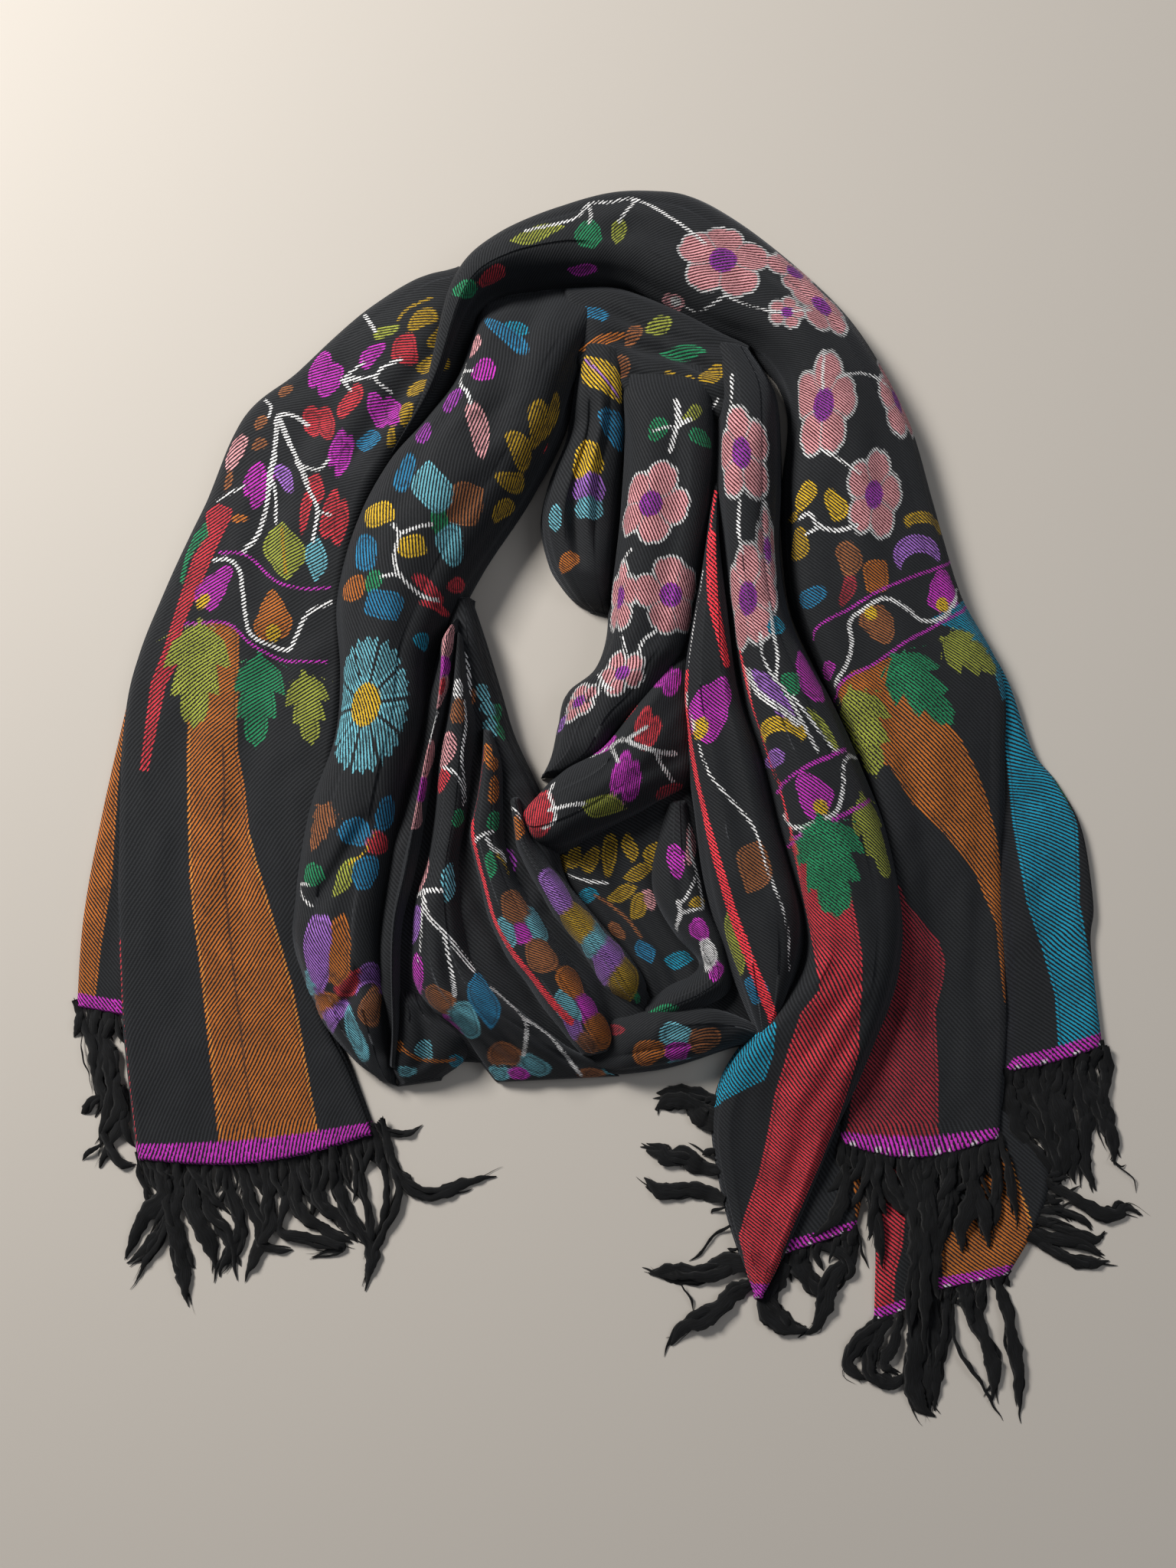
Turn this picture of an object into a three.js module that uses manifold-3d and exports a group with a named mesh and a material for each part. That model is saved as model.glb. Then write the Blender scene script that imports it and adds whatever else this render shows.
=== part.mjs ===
// A kani stole that lies on a floor as it came off the shoulders: a loop round an open neck,
// gathered folds across the front, and both ends laid over each other at the back of the neck
// and down to the fringed hems. Every stretch of cloth that shows is one closed solid, flat
// underneath, rounded over the top and layered at its edges. Millimetres, +Z up.
import * as THREE from 'three';
import Module from 'manifold-3d';

const wasm = await Module();
wasm.setup();

// Driving dimensions
const seamGap = 0.35; // clear space between one stretch and the next
const layerBulge = 1.9; // how far a folded layer's rounded edge stands out past its groove
const shoulder = 4.5; // distance from the edge at which the top surface begins
const belowFloor = 1; // depth that a cutter reaches under the resting plane
const hemReach = 0.3; // share of the last row interval over which a hem bows out
const stripWidth = 2.2; // woven strip that the fringe locks grow from
const stripHeight = 2.2;
const lockRoot = 1.5; // half widths of a wool lock from its root to its tip
const lockBelly = 2.1;
const lockTip = 0.45;
const lockSpans = 4; // straight lengths that make one lock
const lockClear = 0.5; // space between a lock and what it lies over
const sliverSize = 0.02; // corners of a cut piece closer than this to a face are taken out
const originX = -2.6; // middle of the whole object in plan, in the layout of the tables below
const originY = 5.9;

// Every stretch, the uppermost first. A row is one section across the cloth:
// left edge x, y, right edge x, y, then the height at the left edge, the middle and the right edge.
// A fold runs along the stretch, its columns being first row, last row, place across at the start,
// the middle and the end (0 left, 1 right), depth (less than 0 for a ridge), width on its left
// side and width on its right side.
const stretches = [
  {
    name: 'centre_tail', colour: 0x7c2226, across: 9, perRow: 1, layers: 2, bow: 0,
    rows: [
      [62, 222, 86, 217, 26, 28, 22],
      [65, 185, 98, 185, 30, 36, 24],
      [64, 145, 98, 145, 32, 38, 24],
      [67, 110, 97, 110, 32, 38, 24],
      [71, 70, 104, 70, 32, 38, 26],
      [80, 25, 126, 28, 32, 38, 28],
      [91, -25, 145, -22, 32, 37, 28],
      [99, -60, 153, -63, 30, 35, 26],
      [100, -85, 151, -88, 26, 32, 24],
      [88, -108, 146, -108, 22, 28, 22],
      [66, -138, 133, -138, 16, 22, 20],
      [59, -165, 120, -165, 12, 16, 16],
      [64, -200, 106, -197, 9, 12, 12],
      [71, -225, 93, -226, 8, 10, 9],
      [78, -243, 83, -243, 7, 8, 7],
    ],
    folds: [
      [8, 13, 0.62, 0.42, 0.5, 4, 12, 7],
      [6.4, 9, 0.3, 0.36, 0.42, 3, 8, 9],
      [2, 6, 0.5, 0.45, 0.6, 2, 7, 7],
    ],
  },
  {
    name: 'right_tail', colour: 0x24262c, across: 9, perRow: 1, layers: 2, bow: 7,
    rows: [
      [-99, 163, -94, 169, 20, 22, 20],
      [-83, 197, -73, 201, 24, 27, 26],
      [-70, 255, -55, 243, 26, 31, 30],
      [-46, 283, -33, 254, 22, 33, 30],
      [0, 304, 1, 254, 17, 32, 28],
      [34, 308, 18, 252, 15, 32, 28],
      [62, 301, 34, 245, 15, 32, 28],
      [100, 272, 62, 229, 15, 32, 28],
      [136, 233, 87, 215, 15, 31, 26],
      [162, 183, 101, 188, 14, 30, 24],
      [174, 138, 97, 140, 13, 28, 22],
      [186, 92, 100, 89, 12, 26, 20],
      [205, 50, 117, 46, 11, 23, 18],
      [205, 5, 132, 3, 10, 20, 18],
      [202, -50, 140, -48, 9, 15, 18],
      [202, -90, 136, -91, 8, 12, 15],
      [202, -118, 130, -120, 8, 10, 11],
      [199, -143, 122, -143, 7, 9, 9],
      [195, -166, 118, -168, 7, 7, 7],
    ],
    folds: [
      [4, 8, 0.62, 0.55, 0.7, 3, 9, 7],
      [8, 13, 0.3, 0.38, 0.3, 2.5, 12, 9],
      [11, 17, 0.78, 0.6, 0.5, 3.5, 10, 7],
      [13, 17, 0.2, 0.24, 0.2, 2, 8, 6],
    ],
  },
  {
    name: 'left_turn', colour: 0x2b2d33, across: 9, perRow: 1, layers: 2, bow: 0,
    rows: [
      [-56, 250, 14, 258, 24, 27, 26],
      [-60, 228, 5, 225, 28, 34, 28],
      [-69, 204, -5, 200, 30, 36, 28],
      [-84, 184, -13, 174, 30, 37, 28],
      [-104, 160, -28, 146, 30, 38, 26],
      [-120, 126, -48, 115, 28, 38, 24],
      [-127, 90, -62, 88, 27, 38, 24],
      [-124, 52, -73, 60, 26, 38, 26],
      [-126, 24, -75, 28, 26, 38, 28],
      [-137, -10, -83, -8, 26, 37, 28],
      [-143, -45, -90, -46, 25, 36, 28],
      [-145, -74, -94, -78, 22, 34, 28],
      [-139, -96, -93, -102, 17, 30, 26],
      [-130, -116, -92, -122, 12, 24, 22],
      [-115, -134, -92, -138, 8, 15, 15],
      [-103, -143, -93, -146, 5, 7, 7],
    ],
    folds: [
      [0, 4, 0.45, 0.5, 0.62, 4, 12, 8],
      [3, 8, 0.8, 0.74, 0.7, 2.5, 9, 7],
      [9, 14, 0.66, 0.58, 0.52, 3, 9, 7],
    ],
  },
  {
    name: 'border_band', colour: 0x2b2d33, across: 8, perRow: 1, layers: 2, bow: 0,
    rows: [
      [62, 160, 70, 156, 28, 29, 30],
      [59, 125, 71, 123, 30, 32, 30],
      [52, 90, 75, 86, 31, 34, 31],
      [45, 45, 81, 42, 31, 35, 31],
      [45, 18, 86, 14, 30, 35, 31],
      [49, -15, 94, -18, 30, 34, 30],
      [54, -46, 102, -46, 30, 34, 28],
      [61, -75, 106, -74, 28, 33, 26],
      [71, -102, 99, -102, 23, 28, 24],
      [82, -126, 88, -126, 12, 15, 13],
    ],
    folds: [
      [2, 7, 0.55, 0.5, 0.62, 2.5, 7, 6],
      [6, 9, 0.3, 0.4, 0.5, 3, 6, 6],
    ],
  },
  {
    name: 'smooth_fold', colour: 0x2d3036, across: 9, perRow: 1, layers: 2, bow: 0,
    rows: [
      [54, 72, 60, -2, 28, 33, 25],
      [43, 62, 47, -8, 30, 36, 26],
      [28, 44, 27, -18, 31, 37, 27],
      [9, 19, 4, -29, 31, 36, 27],
      [-10, 8, -13, -37, 30, 35, 27],
      [-24, -6, -24, -34, 26, 30, 26],
      [-31, -15, -29, -25, 24, 25, 24],
    ],
    folds: [[1, 5, 0.4, 0.36, 0.4, 2, 10, 9]],
  },
  {
    name: 'front_folds', colour: 0x26282e, across: 19, perRow: 1, layers: 2, bow: 0,
    rows: [
      [-66, 90, -57, 90, 20, 22, 18],
      [-74, 68, -50, 70, 24, 28, 20],
      [-80, 48, -43, 48, 26, 31, 22],
      [-86, 25, -36, 24, 28, 33, 24],
      [-92, 0, -26, 2, 30, 35, 26],
      [-98, -25, -15, -22, 32, 38, 28],
      [-103, -52, -8, -48, 33, 40, 30],
      [-105, -78, 8, -70, 33, 41, 30],
      [-105, -98, 22, -88, 30, 39, 28],
      [-103, -118, 32, -106, 24, 33, 24],
      [-100, -134, 34, -124, 14, 21, 16],
      [-96, -146, 32, -142, 5, 6, 5],
    ],
    folds: [
      [3, 11.5, 0.22, 0.2, 0.1, 8, 6, 5],
      [2, 11.9, 0.56, 0.44, 0.34, 9, 8, 6],
      [3.5, 11, 0.76, 0.78, 0.86, 8, 7, 5],
      [5, 10, 0.62, 0.6, 0.62, 3, 6, 5],
      [6, 10.5, 0.3, 0.31, 0.26, 2.5, 6, 5],
      [1, 5, 0.72, 0.74, 0.76, 4, 5, 4],
    ],
  },
  {
    name: 'right_turn', colour: 0x2b2d33, across: 9, perRow: 1, layers: 2, bow: 0,
    rows: [
      [13, 205, 66, 205, 24, 28, 22],
      [17, 170, 68, 170, 28, 33, 26],
      [15, 136, 66, 134, 28, 33, 28],
      [11, 100, 60, 98, 28, 33, 29],
      [9, 72, 54, 68, 28, 32, 29],
      [2, 55, 46, 55, 27, 31, 29],
      [-11, 44, 36, 38, 26, 30, 28],
      [-15, 29, 20, 24, 24, 28, 26],
      [-18, 14, 10, 12, 22, 24, 22],
      [-22, 4, -8, 4, 18, 20, 18],
    ],
    folds: [
      [0, 5, 0.5, 0.6, 0.55, 3, 8, 6],
      [4, 8, 0.3, 0.35, 0.4, 3, 6, 6],
    ],
  },
  {
    name: 'under_fold', colour: 0x26282e, across: 8, perRow: 1, layers: 2, bow: 0,
    rows: [
      [20, -108, 8, -145, 18, 21, 7],
      [30, -108, 20, -144, 20, 25, 7],
      [45, -106, 34, -140, 22, 26, 7],
      [62, -108, 52, -135, 20, 24, 7],
      [76, -114, 70, -129, 14, 17, 7],
      [88, -122, 84, -127, 8, 9, 6],
    ],
    folds: [[1, 4, 0.42, 0.46, 0.5, 3, 6, 5]],
  },
  {
    name: 'neck_folds', colour: 0x26282e, across: 10, perRow: 1, layers: 2, bow: 0,
    rows: [
      [-6, 222, 22, 216, 18, 22, 20],
      [-9, 192, 23, 192, 20, 27, 20],
      [-12, 174, 23, 174, 20, 28, 20],
      [-20, 154, 20, 150, 20, 28, 20],
      [-24, 132, 18, 128, 18, 27, 20],
      [-20, 108, 16, 102, 18, 24, 20],
      [-6, 91, 14, 88, 15, 17, 17],
    ],
    folds: [
      [0.5, 5.5, 0.36, 0.4, 0.5, 7, 4, 4],
      [0.5, 5, 0.68, 0.7, 0.78, 6, 4, 3],
    ],
  },
  {
    name: 'front_hollow', colour: 0x1c1e23, across: 9, perRow: 1, layers: 1, bow: 0,
    rows: [
      [-20, -28, 55, -2, 16, 17, 20],
      [-12, -48, 60, -34, 18, 19, 22],
      [4, -68, 66, -62, 18, 19, 20],
      [20, -88, 74, -86, 18, 17, 16],
      [28, -108, 80, -106, 15, 15, 13],
      [30, -120, 84, -118, 12, 12, 10],
    ],
    folds: [
      [0.5, 4.5, 0.35, 0.4, 0.45, 4, 6, 6],
      [0.5, 4.5, 0.66, 0.7, 0.75, 3, 5, 6],
    ],
  },
  {
    name: 'back_folds', colour: 0x26282e, across: 8, perRow: 1, layers: 1, bow: 0,
    rows: [
      [-10, 258, -2, 203, 14, 19, 20],
      [12, 258, 13, 194, 14, 21, 21],
      [30, 252, 30, 180, 14, 22, 21],
      [48, 244, 48, 176, 14, 22, 21],
      [66, 234, 66, 175, 14, 22, 21],
      [82, 226, 78, 185, 13, 18, 18],
    ],
    folds: [
      [0.5, 4.5, 0.55, 0.45, 0.5, 5, 5, 5],
      [1, 4.5, 0.75, 0.72, 0.8, 4, 4, 5],
    ],
  },
  {
    name: 'left_tail', colour: 0x2b2d33, across: 9, perRow: 1, layers: 2, bow: 5,
    rows: [
      [-68, 268, -56, 245, 20, 22, 22],
      [-90, 263, -60, 222, 17, 24, 26],
      [-120, 244, -73, 188, 15, 24, 26],
      [-150, 216, -93, 160, 13, 22, 24],
      [-178, 192, -108, 130, 12, 21, 24],
      [-197, 146, -116, 90, 11, 20, 22],
      [-216, 102, -116, 42, 10, 18, 20],
      [-232, 55, -122, -5, 9, 16, 20],
      [-236, 5, -134, -48, 8, 13, 18],
      [-234, -60, -134, -85, 8, 11, 13],
      [-231, -104, -124, -119, 7, 9, 9],
      [-226, -134, -115, -138, 7, 8, 8],
      [-218, -176, -103, -167, 6, 6, 6],
    ],
    folds: [
      [0.3, 4, 0.8, 0.72, 0.72, 5, 8, 5],
      [2, 6, 0.4, 0.42, 0.5, 2.5, 12, 9],
      [5, 10, 0.66, 0.6, 0.7, 2.5, 10, 8],
      [6, 11, 0.3, 0.34, 0.3, 1.6, 12, 9],
    ],
  },
  {
    name: 'left_tail_back', colour: 0x6e4420, across: 3, perRow: 1, layers: 1, bow: 0,
    rows: [
      [-236, 55, -212, 50, 4, 5, 5],
      [-246, -10, -216, -14, 4, 5, 5],
      [-252, -66, -218, -70, 4, 5, 5],
      [-253, -108, -219, -114, 4, 4, 4],
    ],
    folds: [],
  },
  {
    name: 'right_corner', colour: 0x14647a, across: 5, perRow: 1, layers: 1, bow: 2,
    rows: [
      [199, 66, 186, 44, 6, 7, 7],
      [208, 48, 191, 20, 6, 8, 8],
      [218, 15, 194, -5, 6, 8, 8],
      [229, -1, 195, -25, 6, 8, 8],
      [240, -24, 195, -45, 6, 8, 8],
      [244, -60, 196, -80, 5, 7, 7],
      [242, -80, 196, -100, 5, 6, 6],
      [245, -126, 194, -139, 5, 5, 5],
    ],
    folds: [[2, 6, 0.5, 0.5, 0.5, 1.5, 8, 6]],
  },
  {
    name: 'centre_tail_back', colour: 0x202228, across: 4, perRow: 1, layers: 1, bow: 0,
    rows: [
      [112, -165, 131, -165, 4, 5, 4],
      [104, -187, 131, -184, 4, 5, 4],
      [97, -205, 130, -200, 4, 5, 4],
      [92, -224, 127, -212, 4, 4, 4],
    ],
    folds: [],
  },
  {
    name: 'lower_corner', colour: 0x7d5420, across: 5, perRow: 1, layers: 1, bow: 0,
    rows: [
      [153, -160, 199, -157, 4, 4, 4],
      [153, -178, 212, -175, 4, 4, 4],
      [153, -197, 218, -190, 4, 4, 4],
      [154, -218, 211, -211, 4, 4, 4],
      [155, -241, 198, -232, 4, 4, 4],
    ],
    folds: [],
  },
  {
    name: 'lower_corner_under', colour: 0x84262a, across: 4, perRow: 1, layers: 1, bow: 0,
    rows: [
      [133, -160, 158, -160, 3, 3, 3],
      [134, -195, 158, -192, 3, 3, 3],
      [135, -225, 158, -220, 3, 3, 3],
      [134, -254, 153, -247, 3, 3, 3],
    ],
    folds: [],
  },
];

// Every fringe grows from a strip along a hem. edge is end for the last row or left or right for
// a side, from and to are places along it (0 to 1 across the end, row numbers down a side), floor
// is the top of what lies under the locks. A tip row is the place along the hem, then x and y.
const fringes = [
  {
    name: 'left_tail_fringe', on: 'left_tail', edge: 'end', from: 0.02, to: 0.98, locks: 30, floor: 0,
    tips: [[0, -234, -224], [0.2, -208, -246], [0.5, -168, -238], [0.9, -112, -243], [1, -62, -204]],
  },
  {
    name: 'left_tail_back_fringe', on: 'left_tail_back', edge: 'end', from: 0.04, to: 0.58, locks: 9,
    floor: 0, tips: [[0, -262, -160], [0.5, -249, -183], [1, -232, -172]],
  },
  {
    name: 'right_corner_fringe', on: 'right_corner', edge: 'end', from: 0.03, to: 0.8, locks: 12,
    floor: 0, tips: [[0, 256, -180], [0.5, 240, -190], [1, 226, -176]],
  },
  {
    name: 'side_fringe', on: 'lower_corner', edge: 'right', from: 1.8, to: 3, locks: 6, floor: 0,
    tips: [[0, 258, -203], [0.6, 250, -222], [1, 241, -233]],
  },
  {
    name: 'right_tail_fringe', on: 'right_tail', edge: 'end', from: 0.04, to: 0.86, locks: 22, floor: 4,
    tips: [[0, 205, -206], [0.3, 186, -222], [0.6, 162, -230], [1, 136, -222]],
  },
  {
    name: 'lower_corner_fringe', on: 'lower_corner', edge: 'end', from: 0.03, to: 0.97, locks: 12,
    floor: 0, tips: [[0, 163, -290], [0.3, 168, -300], [0.8, 196, -298], [1, 206, -294]],
  },
  {
    name: 'lower_corner_under_fringe', on: 'lower_corner_under', edge: 'end', from: 0.05, to: 0.9,
    locks: 6, floor: 0, tips: [[0, 118, -276], [0.5, 130, -288], [1, 145, -286]],
  },
  {
    name: 'centre_tail_fringe', on: 'centre_tail', edge: 'left', from: 10.4, to: 13, locks: 14, floor: 0,
    tips: [[0, 29, -151], [0.4, 26, -184], [0.8, 30, -238], [1, 42, -268]],
  },
  {
    name: 'centre_tail_back_fringe', on: 'centre_tail_back', edge: 'end', from: 0.1, to: 0.95, locks: 10,
    floor: 0, tips: [[0, 94, -262], [0.5, 112, -264], [1, 126, -244]],
  },
];

const clamp = THREE.MathUtils.clamp;
const mix = THREE.MathUtils.lerp;

// One section's seven numbers at a place between two rows, on a smooth curve through the rows.
function rowAt(rows, place) {
  const first = clamp(Math.floor(place), 0, rows.length - 2);
  const part = place - first;
  const before = rows[Math.max(first - 1, 0)];
  const after = rows[Math.min(first + 2, rows.length - 1)];
  const curve = (a, b, c, d) => {
    const slopeIn = (c - a) / 2;
    const slopeOut = (d - b) / 2;
    const cubic = 2 * b - 2 * c + slopeIn + slopeOut;
    const square = 3 * c - 3 * b - 2 * slopeIn - slopeOut;
    return ((cubic * part + square) * part + slopeIn) * part + b;
  };
  return rows[first].map((value, i) => curve(before[i], value, rows[first + 1][i], after[i]));
}

// Depth that the folds of a stretch take away at one point of its top.
function foldDepth(stretch, place, across, width) {
  let depth = 0;
  for (const [first, last, start, middle, end, deep, leftWidth, rightWidth] of stretch.folds) {
    const along = (place - first) / (last - first);
    if (along <= 0 || along >= 1) continue;
    const early = mix(start, middle, Math.min(along * 2, 1));
    const centre = along < 0.5 ? early : mix(middle, end, along * 2 - 1);
    const fade = THREE.MathUtils.smoothstep(Math.min(along, 1 - along), 0, 0.25);
    const away = (across - centre) * width;
    const spread = away < 0 ? leftWidth : rightWidth;
    depth += deep * fade * Math.exp(-((away / spread) ** 2));
  }
  return depth;
}

// Inset from the edge and height of each point up the side of a stack of folded layers.
function sideProfile(height, layers) {
  const bulge = Math.min(layerBulge, height * 0.25);
  const layer = height / layers;
  const points = [[bulge * 0.7, 0]];
  for (let i = 0; i < layers; i += 1) {
    points.push([bulge * 0.35 * i, layer * (i + 0.5)]);
    if (i < layers - 1) points.push([bulge * 1.2, layer * (i + 1)]);
  }
  return points;
}

// Place of the hem at the end of a stretch, which bows out in its middle.
function bowAt(stretch, place, across) {
  const near = clamp((place - (stretch.rows.length - 1)) / hemReach + 1, 0, 1);
  return stretch.bow * near * Math.sin(Math.PI * clamp(across, 0, 1));
}

// A point of the plan on a section, across in shares of its width.
function planPoint(stretch, place, across) {
  const [leftX, leftY, rightX, rightY] = rowAt(stretch.rows, place);
  const width = Math.hypot(rightX - leftX, rightY - leftY);
  const bow = bowAt(stretch, place, across);
  const outX = (rightY - leftY) / width;
  const outY = -(rightX - leftX) / width;
  const side = Math.sign(outX * travel(stretch, place)[0] + outY * travel(stretch, place)[1]);
  return [mix(leftX, rightX, across) + outX * bow * side, mix(leftY, rightY, across) + outY * bow * side];
}

// Unit direction in which the rows advance.
function travel(stretch, place) {
  const last = stretch.rows.length - 1;
  const behind = rowAt(stretch.rows, Math.max(place - 0.5, 0));
  const ahead = rowAt(stretch.rows, Math.min(place + 0.5, last));
  const x = ahead[0] + ahead[2] - behind[0] - behind[2];
  const y = ahead[1] + ahead[3] - behind[1] - behind[3];
  const length = Math.hypot(x, y);
  return [x / length, y / length];
}

// The closed ring of points of one section: up the left side, over the top, down the right side.
function sectionRing(stretch, place, grow) {
  const [leftX, leftY, rightX, rightY, leftHeight, middleHeight, rightHeight] = rowAt(stretch.rows, place);
  const width = Math.hypot(rightX - leftX, rightY - leftY);
  const rim = Math.min(shoulder, width * 0.28, middleHeight * 0.5);
  const crown = middleHeight - (leftHeight + rightHeight) / 2;
  const flat = [];
  const lift = (height) => (height > 0 ? height + grow : -grow * belowFloor / seamGap);
  for (const [inset, height] of sideProfile(leftHeight * 0.94, stretch.layers)) {
    flat.push([inset - grow, lift(height)]);
  }
  for (let i = 0; i < stretch.across; i += 1) {
    const across = mix(rim / width, 1 - rim / width, i / (stretch.across - 1));
    const base = mix(leftHeight, rightHeight, across) + crown * Math.sin(Math.PI * across);
    const height = Math.max(base - foldDepth(stretch, place, across, width), base * 0.4);
    flat.push([across * width, height + grow]);
  }
  for (const [inset, height] of sideProfile(rightHeight * 0.94, stretch.layers).reverse()) {
    flat.push([width - inset + grow, lift(height)]);
  }
  return flat.map(([distance, height]) => {
    const [x, y] = planPoint(stretch, place, distance / width);
    return new THREE.Vector3(x, y, height);
  });
}

// A closed mesh through a list of rings with as many points each, capped at both ends.
function loft(rings) {
  const count = rings[0].length;
  const vertices = rings.flat().flatMap((point) => [point.x, point.y, point.z]);
  let faces = [];
  for (let r = 0; r < rings.length - 1; r += 1) {
    for (let i = 0; i < count; i += 1) {
      const a = r * count + i;
      const b = r * count + ((i + 1) % count);
      faces.push([a, b, a + count], [b, b + count, a + count]);
    }
  }
  const last = (rings.length - 1) * count;
  const addCapFace = (a, b, c) => faces.push([a, c, b], [last + a, last + b, last + c]);
  for (let i = 0; i < Math.floor(count / 2) - 1; i += 1) {
    const opposite = count - 1 - i;
    addCapFace(i, i + 1, opposite - 1);
    addCapFace(i, opposite - 1, opposite);
  }
  if (count % 2 === 1) {
    const middle = (count - 1) / 2;
    addCapFace(middle - 1, middle, middle + 1);
  }
  const volume = faces.reduce((sum, [a, b, c]) => {
    const corner = (i) => new THREE.Vector3().fromArray(vertices, i * 3);
    return sum + corner(a).dot(corner(b).cross(corner(c)));
  }, 0);
  if (volume < 0) faces = faces.map(([a, b, c]) => [a, c, b]);
  return new wasm.Manifold(new wasm.Mesh({
    numProp: 3,
    vertProperties: new Float32Array(vertices),
    triVerts: new Uint32Array(faces.flat()),
  }));
}

// The solid of one stretch. A grown one is larger all round, and cuts what lies under it.
function stretchSolid(stretch, grow) {
  const sections = [];
  const last = stretch.rows.length - 1;
  for (let i = 0; i <= last * stretch.perRow; i += 1) {
    sections.push(sectionRing(stretch, i / stretch.perRow, grow));
  }
  const shift = (section, place, distance) => {
    const [x, y] = travel(stretch, place);
    for (const point of section) point.add(new THREE.Vector3(x * distance, y * distance, 0));
  };
  shift(sections[0], 0, -grow);
  shift(sections[sections.length - 1], last, grow);
  return loft(sections);
}

function largestBody(solid) {
  return solid.decompose().reduce((best, body) => (body.volume() > best.volume() ? body : best));
}

// Outer edge of a hem as points, each with the direction that leads off the cloth.
function hemLine(fringe, steps) {
  const stretch = stretches.find(({ name }) => name === fringe.on);
  const last = stretch.rows.length - 1;
  const points = [];
  for (let i = 0; i <= steps; i += 1) {
    const place = mix(fringe.from, fringe.to, i / steps);
    if (fringe.edge === 'end') {
      points.push({ at: planPoint(stretch, last, place), off: travel(stretch, last) });
    } else {
      const across = fringe.edge === 'left' ? 0 : 1;
      const at = planPoint(stretch, place, across);
      const inside = planPoint(stretch, place, 0.5);
      const length = Math.hypot(at[0] - inside[0], at[1] - inside[1]);
      points.push({ at, off: [(at[0] - inside[0]) / length, (at[1] - inside[1]) / length] });
    }
  }
  return points;
}

// A share from 0 to 1 that differs from lock to lock and is the same every time.
function scatter(index, salt) {
  const wave = Math.sin(index * 12.9898 + salt * 78.233) * 43758.5453;
  return wave - Math.floor(wave);
}

// A place between the rows of a table whose first column runs from 0 to 1.
function tableAt(table, share) {
  const next = Math.max(table.findIndex((row) => row[0] >= share), 1);
  const [low, high] = [table[next - 1], table[next]];
  const part = (share - low[0]) / (high[0] - low[0]);
  return [mix(low[1], high[1], part), mix(low[2], high[2], part)];
}

// A wool lock: three sides, widest below its root, pointed, curving from the hem to its tip.
function lockSolid(root, off, tip, floor, index) {
  const reach = Math.hypot(tip[0] - root[0], tip[1] - root[1]);
  const bend = [root[0] + off[0] * reach * 0.45, root[1] + off[1] * reach * 0.45];
  const rings = [];
  for (let i = 0; i <= lockSpans; i += 1) {
    const share = i / lockSpans;
    const line = (axis) => (1 - share) ** 2 * root[axis] + 2 * share * (1 - share) * bend[axis]
      + share ** 2 * tip[axis];
    const slope = (axis) => 2 * (1 - share) * (bend[axis] - root[axis]) + 2 * share * (tip[axis] - bend[axis]);
    const length = Math.hypot(slope(0), slope(1));
    const [sideX, sideY] = [-slope(1) / length, slope(0) / length];
    const half = share < 0.5 ? mix(lockRoot, lockBelly, share * 2) : mix(lockBelly, lockTip, share * 2 - 1);
    const base = floor + lockClear;
    const top = base + Math.min(half, 1.5) * 1.1 + 0.25 * scatter(index, 5) * (i % 2);
    rings.push([
      new THREE.Vector3(line(0) - sideX * half, line(1) - sideY * half, base),
      new THREE.Vector3(line(0), line(1), top),
      new THREE.Vector3(line(0) + sideX * half, line(1) + sideY * half, base),
    ]);
  }
  return loft(rings);
}

// The strip along one hem with its locks fused into it.
function fringeSolid(fringe) {
  const base = fringe.floor + lockClear;
  const corners = [[0, 0], [0, 1], [1, 1], [1, 0]];
  const rings = hemLine(fringe, 5).map(({ at, off }) => corners.map(([out, up]) => new THREE.Vector3(
    at[0] + off[0] * (seamGap + out * stripWidth),
    at[1] + off[1] * (seamGap + out * stripWidth),
    base + up * stripHeight,
  )));
  let solid = loft(rings);
  const line = hemLine(fringe, fringe.locks - 1);
  line.forEach(({ at, off }, index) => {
    const share = index / (fringe.locks - 1);
    const root = [0, 1].map((axis) => at[axis] + off[axis] * (seamGap + stripWidth * 0.5));
    const tip = tableAt(fringe.tips, share);
    const shorter = 0.22 * scatter(index, 1);
    const end = [0, 1].map((axis) => mix(tip[axis], root[axis], shorter));
    solid = solid.add(lockSolid(root, off, end, fringe.floor, index));
  });
  return largestBody(solid);
}

function toMesh(name, solid, colour) {
  const { vertProperties, triVerts } = solid.getMesh();
  const geometry = new THREE.BufferGeometry();
  geometry.setAttribute('position', new THREE.BufferAttribute(vertProperties, 3));
  geometry.setIndex(new THREE.BufferAttribute(triVerts, 1));
  geometry.computeVertexNormals();
  const material = new THREE.MeshStandardMaterial({ color: colour, roughness: 0.9, metalness: 0 });
  const mesh = new THREE.Mesh(geometry, material);
  mesh.name = name;
  return mesh;
}

const group = new THREE.Group();
group.position.set(-originX, -originY, 0);

let cutter = null;
for (const stretch of stretches) {
  const whole = stretchSolid(stretch, 0);
  const visible = cutter ? largestBody(whole.subtract(cutter)).simplify(sliverSize) : whole;
  group.add(toMesh(stretch.name, visible, stretch.colour));
  const grown = stretchSolid(stretch, seamGap);
  cutter = cutter ? cutter.add(grown) : grown;
}
for (const fringe of fringes) group.add(toMesh(fringe.name, fringeSolid(fringe), 0x17181b));

export default group;
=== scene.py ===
import math
import bpy
import numpy as np
from mathutils import Matrix, Vector


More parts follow.
